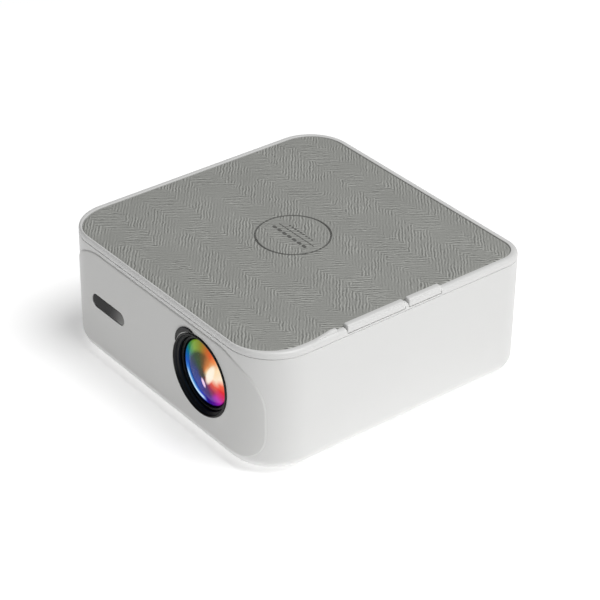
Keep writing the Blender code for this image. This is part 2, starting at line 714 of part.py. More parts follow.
def make_lens():
    centre = (LENS_X, FRONT_Y, LENS_Z)
    bore = BARREL_RADIUS + BARREL_CLEARANCE
    back = RING_LENGTH - RING_PROUD
    profile = [
        (RING_RADIUS - RING_BEVEL, -RING_PROUD),
        (RING_RADIUS, -RING_PROUD + RING_BEVEL),
        (RING_RADIUS, back),
        (bore, back),
        (bore, GLASS_DEPTH),
        (RING_BORE, -RING_PROUD),
    ]
    ring = turned("focus_ring", centre, "Y", profile, "black_plastic", centre, tube=True)
    start = TAB_MIDDLE - TAB_SPAN / 2
    inner = (RING_RADIUS + RING_BORE) / 2
    steps = 10
    shape = []
    for step in range(steps + 1):
        share = step / steps
        radius = inner + (RING_RADIUS + TAB_REACH - inner) * math.sin(math.pi * share) ** 0.9
        angle = start + TAB_SPAN * share
        shape.append((radius * math.sin(angle), radius * math.cos(angle)))
    for share in (0.75, 0.5, 0.25):
        angle = start + TAB_SPAN * share
        shape.append((inner * math.sin(angle), inner * math.cos(angle)))
    tab = prism("focus_tab", shape, "Y", -RING_PROUD + 0.1 * MM, -PANEL_PROUD - GAP, None)
    tab.location = centre
    join(ring, tab)

    back = GLASS_DEPTH + BARREL_LENGTH
    front_seat = GLASS_DEPTH + FRONT_LENS_THICKNESS
    rear_seat = back - REAR_LENS_THICKNESS - 1 * MM
    seat_bore = GLASS_RADIUS - 2 * MM
    inside = GLASS_RADIUS + GAP
    profile = [
        (BARREL_RADIUS, GLASS_DEPTH),
        (BARREL_RADIUS, back),
        (inside, back),
        (inside, rear_seat),
        (seat_bore, rear_seat),
        (seat_bore, front_seat),
        (inside, front_seat),
        (inside, GLASS_DEPTH),
    ]
    barrel = turned("lens_barrel", centre, "Y", profile, "black_plastic", centre, tube=True)
    dome = []
    for step in range(1, 8):
        angle = math.pi / 2 * step / 7
        depth = GLASS_DEPTH + DOME_EDGE - DOME_HEIGHT * math.cos(angle)
        dome.append((GLASS_RADIUS * math.sin(angle), depth))
    front = dome + [(GLASS_RADIUS, front_seat - GAP), (LENS_FLAT, front_seat - GAP)]
    front_lens = turned("front_lens", centre, "Y", front, "coated_glass", centre)
    rear = [
        (LENS_FLAT, rear_seat + GAP),
        (GLASS_RADIUS, rear_seat + GAP),
        (GLASS_RADIUS, back - 3 * MM),
        (GLASS_RADIUS * 0.6, back - 1.2 * MM),
        (LENS_FLAT, back - 0.6 * MM),
    ]
    rear_lens = turned("rear_lens", centre, "Y", rear, "clear_plastic", centre)
    for lens in (front_lens, rear_lens):
        lens.parent = barrel
        lens.location = (0, 0, 0)

    start = RING_LENGTH - RING_PROUD + GAP
    end = ENGINE_FRONT - FRONT_Y - GAP
    outer = SLEEVE_BORE + SLEEVE_WALL
    profile = [
        (outer, start),
        (outer, end - FLANGE_THICKNESS),
        (FLANGE_RADIUS, end - FLANGE_THICKNESS),
        (FLANGE_RADIUS, end),
        (SLEEVE_BORE, end),
        (SLEEVE_BORE, start),
    ]
    turned("lens_sleeve", centre, "Y", profile, "black_plastic", tube=True)


def make_keys():
    inner_x = KEY_INNER_X
    outer_x = RIGHT_X - KEY_SIDE
    bar_low = KEY_BAR_Z
    bar_high = TOP_Z + KEY_RAISE
    web_x = inner_x - KEY_INNER_REACH + KEY_SPACE
    board_edge = RIGHT_X - WALL - COVER_LIP_WIDTH - 2 * GAP
    stem_x = board_edge - SWITCH_SIZE / 2 - SWITCH_MARGIN
    stem_low = KEY_WEB_Z - STEM_BELOW_WEB
    switch_high = stem_low - KEY_TRAVEL - SWITCH_SPACE
    board_high = switch_high - SWITCH_HEIGHT
    switches = []
    for name, (start, end) in zip(("rocker_key", "power_key"), key_spans()):
        middle = (start + end) / 2
        edge = KEY_END_DROP
        bar = []
        for y, drop in ((start, edge), (start + edge, 0), (end - edge, 0), (end, edge)):
            high = bar_high - drop
            bar.append([
                (inner_x, y, bar_low),
                (outer_x, y, bar_low),
                (outer_x, y, high - 1.6 * MM),
                (outer_x - 1.2 * MM, y, high - 0.3 * MM),
                (outer_x - 2.5 * MM, y, high),
                (inner_x, y, high),
            ])
        origin = (RIGHT_X - RIM_WIDTH / 2, middle, bar_low)
        key = loft(name, bar, "white_plastic", origin)
        low = (web_x, start + BITE, KEY_WEB_Z)
        web = block(f"{name}_web", low, (inner_x + BITE, end - BITE, KEY_WEB_TOP), None)
        web.location = -Vector(origin)
        stems = [middle]
        if name == "rocker_key":
            stems = [start + ROCKER_STEM, end - ROCKER_STEM]
        blocks = []
        for y in stems:
            half = STEM_SIZE / 2
            low = (stem_x - half, y - half, stem_low)
            blocks.append(block("stem", low, (stem_x + half, y + half, KEY_WEB_TOP - BITE), None))
            half = SWITCH_SIZE / 2
            low = (stem_x - half, y - half, board_high - BITE)
            switches.append(block("switch", low, (stem_x + half, y + half, switch_high), None))
        for helper in (web, joined(f"{name}_stems", blocks)):
            helper.location = origin
            for vertex in helper.data.vertices:
                vertex.co -= Vector(origin)
            join(key, helper)
    (start, _), (_, end) = key_spans()
    board_low = board_high - BOARD_THICKNESS
    low = (board_edge - SWITCH_SIZE - 2 * SWITCH_MARGIN, start, board_low)
    board = block("key_board", low, (board_edge, end, board_high), "circuit_board")
    join(board, joined("switches", switches))


def make_engine():
    wall = ENGINE_WALL
    low = Vector((ENGINE_LEFT, ENGINE_FRONT, ENGINE_Z))
    high = Vector((ENGINE_RIGHT, ENGINE_BACK, LID_Z))
    tray = block("engine_tray", low, high, "black_plastic")
    inside = Vector((wall, wall, wall))
    top = Vector((high.x - wall, high.y - wall, LID_Z + BREAK_OUT))
    cut(tray, block("engine_inside", low + inside, top, None))
    legs = []
    inset = ENGINE_LEG_INSET
    for x in (low.x + inset, high.x - inset - ENGINE_LEG):
        for y in (low.y + inset, high.y - inset - ENGINE_LEG):
            foot = (x, y, BASE_Z + BASE_REBATE)
            legs.append(block("leg", foot, (x + ENGINE_LEG, y + ENGINE_LEG, low.z + BITE), None))
    join(tray, joined("engine_legs", legs))
    for name, axis, seat, bore in (
        ("condenser_seat", "X", (low.x, ENGINE_MIDDLE_Y, LENS_Z), CONDENSER_RADIUS + GAP),
        ("sleeve_seat", "Y", (LENS_X, low.y, LENS_Z), SLEEVE_BORE),
    ):
        hole = [(bore, -BREAK_OUT), (bore, wall + BREAK_OUT)]
        cut(tray, turned(name, seat, axis, hole, None))
    top = (high.x, high.y, LID_Z + LID_THICKNESS)
    block("engine_lid", (low.x, low.y, LID_Z + GAP), top, "black_plastic")

    centre = (CONDENSER_X, ENGINE_MIDDLE_Y, LENS_Z)
    profile = [
        (CONDENSER_RADIUS, 0),
        (CONDENSER_RADIUS, CONDENSER_RIM),
        (CONDENSER_RADIUS * 0.8, 11 * MM),
        (CONDENSER_RADIUS * 0.4, 13.4 * MM),
        (LENS_FLAT, CONDENSER_THICKNESS),
    ]
    turned("condenser_lens", centre, "X", profile, "clear_plastic")
    half = SHEET_WIDTH / 2
    sheets = (
        ("fresnel_rear", FRESNEL_THICKNESS, "clear_plastic"),
        ("lcd_panel", LCD_THICKNESS, "smoked_window"),
        ("fresnel_front", FRESNEL_THICKNESS, "clear_plastic"),
    )
    for number, (name, thickness, finish) in enumerate(sheets):
        x = ENGINE_LEFT + FIRST_SHEET + number * SHEET_PITCH
        low_corner = (x, ENGINE_MIDDLE_Y - half, SHEET_Z)
        block(name, low_corner, (x + thickness, ENGINE_MIDDLE_Y + half, SHEET_Z + SHEET_HEIGHT), finish)
    size = Vector((MIRROR_LENGTH / 2, MIRROR_THICKNESS / 2, SHEET_HEIGHT / 2))
    mirror = block("fold_mirror", -size, size, "mirror_glass")
    mirror.location = (LENS_X, ENGINE_MIDDLE_Y, SHEET_Z + SHEET_HEIGHT / 2)
    mirror.rotation_euler = (0, 0, math.radians(-45))

    half = LED_SIZE / 2
    low_corner = (LED_X, ENGINE_MIDDLE_Y - half, LENS_Z - half)
    high_corner = (LED_X + LED_THICKNESS, ENGINE_MIDDLE_Y + half, LENS_Z + half)
    block("led_module", low_corner, high_corner, "aluminium")
    comb = comb_outline(ENGINE_MIDDLE_Y - FAN_SIZE / 2, ENGINE_MIDDLE_Y + FAN_SIZE / 2)
    rings = [[(x, y, z) for x, y in comb] for z in (LENS_Z - half, LENS_Z + half)]
    loft("led_heatsink", rings, "aluminium")


def comb_outline(start, end):
    """The heatsink from above: a base plate with upright fins towards the fan."""
    back = HEATSINK_X + HEATSINK_DEPTH
    root = back - HEATSINK_BASE
    points = [(back, start), (back, end)]
    pitch = (end - start - FIN_THICKNESS) / (HEATSINK_FINS - 1)
    for number in range(HEATSINK_FINS - 1, -1, -1):
        low = start + number * pitch
        if number < HEATSINK_FINS - 1:
            points.append((root, low + FIN_THICKNESS))
        points += [(HEATSINK_X, low + FIN_THICKNESS), (HEATSINK_X, low)]
        if number:
            points.append((root, low))
    return points


def fan_blades(count, inner, outer, start, end, lean, thickness):
    """Flat blades about the X axis, each leaning over by lean from its front edge to its back edge."""
    blades = []
    for number in range(count):
        turn = Matrix.Rotation(2 * math.pi * number / count, 4, "X")
        half = thickness / 2
        rings = []
        for radius in (inner, outer):
            section = [(start, -lean - half), (end, lean - half), (end, lean + half), (start, -lean + half)]
            rings.append([turn @ Vector((x, y, radius)) for x, y in section])
        blades.append(loft("blade", rings, None))
    return blades


def make_cooling():
    half = FAN_SIZE / 2
    middle = Vector((FAN_X, ENGINE_MIDDLE_Y, LENS_Z))
    depth = FAN_THICKNESS
    low = middle - Vector((0, half, half))
    frame = block("exhaust_fan_frame", low, middle + Vector((depth, half, half)), "black_plastic")
    bore = [(FAN_BORE, -BREAK_OUT), (FAN_BORE, depth + BREAK_OUT)]
    cut(frame, turned("fan_bore", middle, "X", bore, None, steps=32))
    hub = [(FAN_HUB * 0.8, 0.2 * MM), (FAN_HUB * 0.8, 2 * MM)]
    join(frame, turned("strut_hub", middle, "X", hub, None, steps=16))
    bar = 2 * MM
    reach = FAN_BORE + 1 * MM
    low = middle + Vector((0.4 * MM, -reach, -bar))
    high = middle + Vector((1.8 * MM, reach, bar))
    join(frame, block("fan_strut", low, high, None))
    origin = middle + Vector((depth / 2, 0, 0))
    front, back = -4.6 * MM, 6 * MM
    hub = [(FAN_HUB - 1 * MM, front), (FAN_HUB, front + 1 * MM), (FAN_HUB, back)]
    rotor = turned("exhaust_fan_rotor", origin, "X", hub, "black_plastic", origin, steps=28)
    root, tip = FAN_HUB - 1.5 * MM, FAN_BORE - 1.2 * MM
    ends = front + 0.8 * MM, back - 0.8 * MM
    blades = joined("fan_blades", fan_blades(FAN_BLADES, root, tip, *ends, 4 * MM, 1.2 * MM))
    blades.location = origin
    join(rotor, blades)

    half = BLOWER_SIZE / 2
    start = ENGINE_RIGHT + GAP
    end = start + BLOWER_THICKNESS
    middle = Vector((start, ENGINE_MIDDLE_Y, BLOWER_Z))
    low = middle - Vector((0, half, half))
    case = block("blower_case", low, (end, middle.y + half, middle.z + half), "black_plastic")
    floor = BLOWER_FLOOR
    bore = [(BLOWER_BORE, floor), (BLOWER_BORE, BLOWER_THICKNESS + BREAK_OUT)]
    cut(case, turned("blower_bore", middle, "X", bore, None, steps=32))
    low = middle + Vector((floor, -half + 4 * MM, -half - BREAK_OUT))
    high = middle + Vector((BLOWER_THICKNESS - floor, -2 * MM, -10 * MM))
    cut(case, block("blower_outlet", low, high, None))
    origin = middle + Vector((BLOWER_THICKNESS / 2, 0, 0))
    span = BLOWER_THICKNESS / 2 - floor - 0.6 * MM
    plate = BLOWER_BORE - 2.5 * MM
    drum = [(plate, -span), (plate, -span + 1.4 * MM), (9 * MM, -span + 1.6 * MM), (8 * MM, span)]
    rotor = turned("blower_rotor", origin, "X", drum, "black_plastic", origin, steps=28)
    root, tip = plate - 5 * MM, plate - 0.4 * MM
    vanes = joined("blower_vanes", fan_blades(BLOWER_BLADES, root, tip, -span + 1 * MM, span, 0, 1 * MM))
    vanes.location = origin
    join(rotor, vanes)

    (low_y, low_z), (high_y, high_z) = side_grille_box(0)
    low = LEFT_X + GRILLE_SUNK, low_y, low_z
    high = LEFT_X + WALL - GRILLE_SUNK, high_y, high_z
    grille = block("side_grille", low, high, "white_plastic")
    length = SIDE_GRILLE_HEIGHT - 2 * GRILLE_BORDER
    span = low_y + GRILLE_BORDER, high_y - GRILLE_BORDER
    depths = LEFT_X - BREAK_OUT, LEFT_X + WALL + BREAK_OUT
    cut(grille, slot_row("side_slots", "X", *span, (low_z + high_z) / 2, length, *depths))

    half_x = FILTER_WIDTH / 2
    half_z = FILTER_HEIGHT / 2
    cover_front = BACK_Y - WALL + GAP
    cover = block(
        "filter_cover",
        (FILTER_X - half_x, cover_front, FILTER_Z - half_z),
        (FILTER_X + half_x, BACK_Y - 0.2 * MM, FILTER_Z + half_z),
        "white_plastic",
    )
    span = FILTER_X - half_x + GRILLE_BORDER, FILTER_X + half_x - GRILLE_BORDER
    length = FILTER_HEIGHT - 2 * GRILLE_BORDER
    depths = cover_front - BREAK_OUT, BACK_Y + BREAK_OUT
    cut(cover, slot_row("filter_slots", "Y", *span, FILTER_Z, length, *depths))
    filter_back = cover_front - GAP
    block(
        "dust_filter",
        (FILTER_X - half_x, filter_back - FILTER_THICKNESS, FILTER_Z - half_z),
        (FILTER_X + half_x, filter_back, FILTER_Z + half_z),
        "filter_foam",
    )


def socket_rings(x, z, width, height, wall, depth, hollow):
    """A socket that opens to the rear: outer skin, mouth, and the inside down to its floor."""
    back = BACK_Y - SOCKET_SUNK
    front = back - depth
    rings = []
    for shrink, y in ((0, front), (0, back), (wall, back), (wall, back - hollow)):
        left, right = x - width / 2 + shrink, x + width / 2 - shrink
        low, high = z - height / 2 + shrink, z + height / 2 - shrink
        rings.append([(left, y, low), (left, y, high), (right, y, high), (right, y, low)])
    return rings


def make_rear():
    middle_z = BASE_Z + REAR_PANEL_BOTTOM + REAR_PANEL_HEIGHT / 2
    upper = middle_z + SOCKET_ROWS / 2
    lower = middle_z - SOCKET_ROWS / 2
    back = BACK_Y - REAR_PANEL_SUNK
    front = back - REAR_PANEL_THICKNESS
    panel = block(
        "rear_panel",
        (REAR_PANEL_LEFT, front, BASE_Z + REAR_PANEL_BOTTOM),
        (REAR_PANEL_LEFT + REAR_PANEL_WIDTH, back, BASE_Z + REAR_PANEL_BOTTOM + REAR_PANEL_HEIGHT),
        "black_plastic",
    )
    left = REAR_PANEL_LEFT
    sockets = (
        ("hdmi_port_1", left + HDMI_FROM_LEFT, upper, *HDMI_SIZE, SOCKET_WALL, "steel"),
        ("hdmi_port_2", left + HDMI_FROM_LEFT, lower, *HDMI_SIZE, SOCKET_WALL, "steel"),
        ("usb_port_1", left + USB_FROM_LEFT, upper, *USB_SIZE, SOCKET_WALL, "steel"),
        ("usb_port_2", left + USB_FROM_LEFT, lower, *USB_SIZE, SOCKET_WALL, "steel"),
        ("ac_inlet", left + INLET_FROM_LEFT, middle_z, *INLET_SIZE, INLET_WALL, "black_plastic"),
    )
    holes = []
    for name, x, z, width, height, wall, finish in sockets:
        hollow = SOCKET_DEPTH - SOCKET_FLOOR
        made = loft(name, socket_rings(x, z, width, height, wall, SOCKET_DEPTH, hollow), finish)
        half_x, half_z = width / 2 + GAP, height / 2 + GAP
        low = (x - half_x, front - BREAK_OUT, z - half_z)
        holes.append(block("hole", low, (x + half_x, back + BREAK_OUT, z + half_z), None))
        if name == "ac_inlet":
            pins = []
            pin = [(INLET_PIN_RADIUS, -BITE), (INLET_PIN_RADIUS, INLET_PIN_LENGTH)]
            for side in (-1, 1):
                foot = (x + side * INLET_PIN_SPACING / 2, BACK_Y - SOCKET_SUNK - hollow, z)
                pins.append(turned("pin", foot, "Y", pin, None, steps=12))
            join(made, joined("inlet_pins", pins))
    for name, z in (("av_jack", upper), ("audio_jack", lower)):
        x = left + JACKS_FROM_LEFT
        face = BACK_Y - SOCKET_SUNK
        profile = [
            (JACK_RADIUS, -SOCKET_DEPTH),
            (JACK_RADIUS, 0),
            (JACK_BORE, 0),
            (JACK_BORE, -SOCKET_DEPTH + JACK_FLOOR),
        ]
        turned(name, (x, face, z), "Y", profile, "black_plastic", steps=20)
        ends = [(JACK_RADIUS + GAP, front - face - BREAK_OUT), (JACK_RADIUS + GAP, back - face + BREAK_OUT)]
        holes.append(turned("hole", (x, face, z), "Y", ends, None, steps=20))
    cut(panel, joined("socket_holes", holes))

    board_back = BACK_Y - SOCKET_SUNK - SOCKET_DEPTH - GAP
    board_low = (left + BOARD_MARGIN, board_back - BOARD_THICKNESS, INSIDE_Z)
    board_high = (left + REAR_PANEL_WIDTH - BOARD_MARGIN, board_back, BASE_Z + BODY_HEIGHT * 0.75)
    block("main_board", board_low, board_high, "circuit_board")


def make_power_and_sound():
    edge_y = FRONT_Y + WALL + POWER_BOARD_FROM_WALL
    back_y = ENGINE_FRONT - POWER_BOARD_FROM_ENGINE
    left = POWER_BOARD_LEFT
    right = left + POWER_BOARD_WIDTH
    top = INSIDE_Z + BOARD_THICKNESS
    board = block("power_supply_board", (left, edge_y, INSIDE_Z), (right, back_y, top), "circuit_board")
    foot = top - BITE
    middle_y = (edge_y + back_y) / 2
    low = Vector((left + TRANSFORMER_FROM_LEFT, middle_y - TRANSFORMER_SIZE / 2, foot))
    high = low + Vector((TRANSFORMER_SIZE, TRANSFORMER_SIZE, TRANSFORMER_HEIGHT))
    parts = [block("transformer", low, high, None)]
    for y in (edge_y + CAN_FROM_END, back_y - CAN_FROM_END):
        can = (right - CAN_FROM_SIDE, y, foot)
        parts.append(turned("can", can, "Z", [(CAN_RADIUS, 0), (CAN_RADIUS, CAN_HEIGHT)], None, steps=16))
    join(board, joined("power_parts", parts))

    for name, near, far in (
        ("speaker_left", LEFT_X + SPEAKER_INSET, LEFT_X + SPEAKER_INSET + SPEAKER_WIDTH),
        ("speaker_right", RIGHT_X - SPEAKER_INSET - SPEAKER_WIDTH, RIGHT_X - SPEAKER_INSET),
    ):
        low = (near, SPEAKER_BACK - SPEAKER_LENGTH, INSIDE_Z)
        box = block(name, low, (far, SPEAKER_BACK, BASE_Z + SPEAKER_TOP), "black_plastic")
        cone = ((near + far) / 2, SPEAKER_BACK - SPEAKER_LENGTH / 2, INSIDE_Z)
        dish = [(CONE_RADIUS, -BREAK_OUT), (CONE_RADIUS, CONE_EDGE), (CONE_MIDDLE, CONE_DEPTH)]
        cut(box, turned(f"{name}_cone", cone, "Z", dish, None, steps=20))


def make_underside():
    inset = BASE_INSET + GAP
    thickness = BASE_REBATE - GAP
    rings = [casing_ring(inset, z) for z in (BASE_Z, BASE_Z + thickness)]
    plate = loft("base_plate", rings, "panel_plastic")
    leg_centre = Vector((0, FRONT_Y + LEG_FROM_FRONT, BASE_Z))
    wheel_low = LEG_SHOWS - 0.4 * MM
    wheel_high = WHEEL_HEIGHT - wheel_low
    roof = wheel_high + GAP
    wheel_bore = WHEEL_RADIUS + GAP
    leg_bore = LEG_RADIUS + GAP
    cup = [(wheel_bore + CUP_WALL, BITE), (wheel_bore + CUP_WALL, roof + CUP_ROOF)]
    join(plate, turned("wheel_cup", leg_centre, "Z", cup, None, steps=32))
    above = roof + CUP_ROOF + BREAK_OUT
    pocket = [(wheel_bore, -BREAK_OUT), (wheel_bore, roof), (leg_bore, roof), (leg_bore, above)]
    cut(plate, turned("wheel_pocket", leg_centre, "Z", pocket, None, steps=32))
    tripod_centre = Vector((0, MIDDLE_Y - TRIPOD_FORWARD, BASE_Z))
    outer = TRIPOD_OUTER + TRIPOD_WALL
    boss = [(outer, BITE), (outer, TRIPOD_DEPTH + TRIPOD_ROOF)]
    join(plate, turned("tripod_boss", tripod_centre, "Z", boss, None, steps=24))
    pocket = [(TRIPOD_OUTER + GAP, -BREAK_OUT), (TRIPOD_OUTER + GAP, TRIPOD_DEPTH + GAP)]
    cut(plate, turned("tripod_pocket", tripod_centre, "Z", pocket, None, steps=24))
    insert = [
        (TRIPOD_OUTER, 0),
        (TRIPOD_OUTER, TRIPOD_DEPTH),
        (TRIPOD_BORE, TRIPOD_DEPTH),
        (TRIPOD_BORE, 0),
    ]
    turned("tripod_insert", tripod_centre, "Z", insert, "steel", tube=True, steps=24)

    holes = []
    for number in range(4):
        x, y = corner_point(number, BASE_INSET + BASE_LEDGE / 2)
        foot = (x, y, BASE_Z)
        bore = SCREW_SHANK + GAP
        holes.append(turned("hole", foot, "Z", [(bore, -BREAK_OUT), (bore, BREAK_OUT)], None, steps=12))
        screw = [
            (SCREW_HEAD * 0.7, -1.5 * MM),
            (SCREW_HEAD, -1.1 * MM),
            (SCREW_HEAD, -GAP),
            (SCREW_SHANK, -GAP),
            (SCREW_SHANK, BASE_REBATE + SCREW_LENGTH - GAP),
        ]
        turned(f"base_screw_{number + 1}", foot, "Z", screw, "steel", steps=16)
    cut(plate, joined("plate_screw_holes", holes))
    speaker_y = SPEAKER_BACK - SPEAKER_LENGTH / 2
    middle_x = BODY_WIDTH / 2 - SPEAKER_INSET - SPEAKER_WIDTH / 2
    depths = BASE_Z - BREAK_OUT, BASE_Z + 2 * BREAK_OUT
    for name, middle in (("left", -middle_x), ("right", middle_x)):
        outer = BODY_WIDTH / 2 - BASE_INSET - BASE_LEDGE - SPEAKER_SLOT_INSET
        inner = outer - SPEAKER_SLOT_SPAN
        span = sorted((math.copysign(outer, middle), math.copysign(inner, middle)))
        slots = slot_row(f"speaker_slots_{name}", "Z", *span, speaker_y, SPEAKER_SLOT_LENGTH, *depths)
        cut(plate, slots)

    profile = [
        (leg_bore, -wheel_low),
        (WHEEL_RADIUS - 1 * MM, -wheel_low),
        (WHEEL_RADIUS, -wheel_low + 1 * MM),
        (WHEEL_RADIUS, wheel_high),
        (leg_bore, wheel_high),
    ]
    wheel = turned("foot_wheel", leg_centre, "Z", profile, "black_plastic", leg_centre, tube=True, steps=32)
    notches = []
    groove = [(NOTCH_RADIUS, -BREAK_OUT), (NOTCH_RADIUS, 3 * MM)]
    for number in range(WHEEL_NOTCHES):
        angle = 2 * math.pi * number / WHEEL_NOTCHES
        place = Vector((math.cos(angle), math.sin(angle), 0)) * (WHEEL_RADIUS + 0.4 * MM)
        notches.append(turned("notch", place, "Z", groove, None, steps=8))
    notches = joined("wheel_notches", notches)
    notches.location = leg_centre
    cut(wheel, notches)
    tip = 0.8 * MM
    leg = [
        (LEG_RADIUS - tip, -LEG_SHOWS),
        (LEG_RADIUS, -LEG_SHOWS + tip),
        (LEG_RADIUS, LEG_LENGTH - LEG_SHOWS),
    ]
    turned("foot_leg", leg_centre, "Z", leg, "dark_rubber", leg_centre, steps=24)

    for number, (side_x, side_y) in enumerate(((1, -1), (1, 1), (-1, 1), (-1, -1))):
        centre = (side_x * RUBBER_FOOT_X, MIDDLE_Y + side_y * RUBBER_FOOT_Y, 0)
        edge = 0.5 * MM
        foot = [
            (RUBBER_FOOT_RADIUS - edge, 0),
            (RUBBER_FOOT_RADIUS, edge),
            (RUBBER_FOOT_RADIUS, FOOT_PROUD - GAP),
        ]
        turned(f"rubber_foot_{number + 1}", centre, "Z", foot, "dark_rubber", steps=24)


def clear_scene():
    for existing in list(bpy.data.objects):
        bpy.data.objects.remove(existing)


def main():
    clear_scene()
    holder = bpy.data.objects.new(PROJECTOR, None)
    bpy.context.scene.collection.objects.link(holder)
    make_body_shell()
    make_top_cover()
    make_fabric_panel()
    make_front_panel()
    make_lens()
    make_keys()
    make_engine()
    make_cooling()
    make_rear()
    make_power_and_sound()
    make_underside()


main()
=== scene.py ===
import json
import math

import bmesh
import bpy
import numpy as np
from mathutils import Matrix, Vector


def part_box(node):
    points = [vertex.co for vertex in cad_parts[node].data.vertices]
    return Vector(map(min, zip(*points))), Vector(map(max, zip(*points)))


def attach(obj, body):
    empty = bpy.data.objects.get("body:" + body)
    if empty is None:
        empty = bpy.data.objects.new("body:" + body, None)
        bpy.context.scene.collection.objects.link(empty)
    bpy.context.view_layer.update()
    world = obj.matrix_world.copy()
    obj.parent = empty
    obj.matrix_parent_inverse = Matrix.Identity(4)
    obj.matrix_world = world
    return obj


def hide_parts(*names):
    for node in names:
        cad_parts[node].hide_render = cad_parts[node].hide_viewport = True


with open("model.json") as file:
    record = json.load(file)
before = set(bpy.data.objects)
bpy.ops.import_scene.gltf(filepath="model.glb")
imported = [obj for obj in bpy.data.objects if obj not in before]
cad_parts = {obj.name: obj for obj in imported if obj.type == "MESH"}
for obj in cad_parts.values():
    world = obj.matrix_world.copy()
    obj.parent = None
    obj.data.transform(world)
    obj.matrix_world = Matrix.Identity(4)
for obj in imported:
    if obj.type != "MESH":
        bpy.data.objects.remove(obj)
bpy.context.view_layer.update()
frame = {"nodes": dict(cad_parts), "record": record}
mm = 0.001

# Where things are, read from the frame
shellLow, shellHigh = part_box("body_shell")
barrelLow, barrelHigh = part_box("lens_barrel")
glassLow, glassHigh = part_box("front_lens")
panelLow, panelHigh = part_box("front_panel")
windowLow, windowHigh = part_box("ir_window")
fabricLow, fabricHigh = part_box("fabric_panel")
emblemLow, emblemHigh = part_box("emblem_ring")

coverTop = fabricHigh[2] + 0.2 * mm
seamZ = shellHigh[2] + 0.6 * mm
halfWidth = shellHigh[0]
frontY, backY = shellLow[1], shellHigh[1]
middleY = (frontY + backY) / 2
halfDepth = (backY - frontY) / 2
lensX = (barrelLow[0] + barrelHigh[0]) / 2
lensZ = (barrelLow[2] + barrelHigh[2]) / 2
glassRadius = (glassHigh[0] - glassLow[0]) / 2
barrelRadius = (barrelHigh[0] - barrelLow[0]) / 2

casing = {
    "frontLeftRadius": 30 * mm,
    "frontRightRadius": 34.3 * mm,
    "backLeftRadius": 32 * mm,
    "backRightRadius": 19 * mm,
    "wall": 3.2 * mm,
    "bottomEdge": 12 * mm,
    "baseInset": 18 * mm,
    "baseLedge": 6 * mm,
    "baseRebate": 1.8 * mm,
    "cornerSteps": 28,
    "sideSteps": 10,
    "gap": 0.3 * mm,
    "seam": 0.22 * mm,  # left showing between the casing and the top rim
    "lip": 0.25 * mm,  # the small chamfer at the wall's upper edge
}


class Wire:
    # one socket of a node tree: arithmetic on it adds Math nodes
    def __init__(self, tree, socket=None):
        self.tree = tree
        self.socket = socket

    def node(self, kind, settings=None, sockets=None, output=0):
        # any node, by its type: its settings are set first, then the values or links of its sockets
        made = self.tree.nodes.new("ShaderNode" + kind)
        for key, value in (settings or {}).items():
            if key == "stops":
                setStops(made.color_ramp, value)
            else:
                setattr(made, key, value)
        for key, value in (sockets or {}).items():
            if isinstance(value, Wire):
                self.tree.links.new(value.socket, made.inputs[key])
            else:
                made.inputs[key].default_value = value
        return Wire(self.tree, made.outputs[output])

    def maths(self, operation, *values):
        return self.node("Math", {"operation": operation}, dict(enumerate(values)))

    def __add__(self, other):
        return self.maths("ADD", self, other)

    def __radd__(self, other):
        return self.maths("ADD", other, self)

    def __sub__(self, other):
        return self.maths("SUBTRACT", self, other)

    def __rsub__(self, other):
        return self.maths("SUBTRACT", other, self)

    def __mul__(self, other):
        return self.maths("MULTIPLY", self, other)

    def __rmul__(self, other):
        return self.maths("MULTIPLY", other, self)

    def __truediv__(self, other):
        return self.maths("DIVIDE", self, other)

    def __rtruediv__(self, other):
        return self.maths("DIVIDE", other, self)

    def __pow__(self, other):
        return self.maths("POWER", self, other)


def setStops(ramp, stops):
    # stops: (place, colour) pairs in rising order
    while len(ramp.elements) > 1:
        ramp.elements.remove(ramp.elements[-1])
    ramp.elements[0].position, ramp.elements[0].color = stops[0]
    for place, colour in stops[1:]:
        ramp.elements.new(place).color = colour


def screenColour(red, green, blue):
    # a colour given in 0..255 screen values, made linear
    share = np.array([red, green, blue]) / 255
    linear = np.where(share <= 0.04045, share / 12.92, ((share + 0.055) / 1.055) ** 2.4)
    return (*linear.tolist(), 1.0)


def newMaterial(name, **sockets):
    # a Principled material with its uniform values set; gives the material, a wire to draw with
    # and its shader
    material = bpy.data.materials.new(name)
    material.use_nodes = True
    tree = material.node_tree
    shader = next(node for node in tree.nodes if node.type == "BSDF_PRINCIPLED")
    for key, value in sockets.items():
        shader.inputs[socketNames[key]].default_value = value
    return material, Wire(tree), shader


socketNames = {
    "colour": "Base Color",
    "roughness": "Roughness",
    "metallic": "Metallic",
    "specular": "Specular IOR Level",
    "coat": "Coat Weight",
    "coatRoughness": "Coat Roughness",
    "sheen": "Sheen Weight",
    "sheenRoughness": "Sheen Roughness",
    "transmission": "Transmission Weight",
    "emission": "Emission Color",
    "emissionStrength": "Emission Strength",
    "ior": "IOR",
}


def drive(wire, shader, socket):
    wire.tree.links.new(wire.socket, shader.inputs[socket])


def objectPlace(draw):
    return draw.node("TexCoord", output="Object")


def noise(draw, place, scale, detail=2.0, roughness=0.5):
    sockets = {"Vector": place, "Scale": scale, "Detail": detail, "Roughness": roughness}
    return draw.node("TexNoise", {"noise_dimensions": "3D"}, sockets)


def blend(draw, share, first, second):
    # the first colour where share is 0, the second where it is 1
    return draw.node("Mix", {"data_type": "RGBA", "clamp_factor": True}, {0: share, 6: first, 7: second}, 2)


def bump(draw, height, strength, distance):
    return draw.node("Bump", None, {"Height": height, "Strength": strength, "Distance": distance})


def axes(draw, place):
    return [draw.node("SeparateXYZ", None, {0: place}, index) for index in range(3)]


def joinAxes(draw, x, y, z):
    return draw.node("CombineXYZ", None, {0: x, 1: y, 2: z})


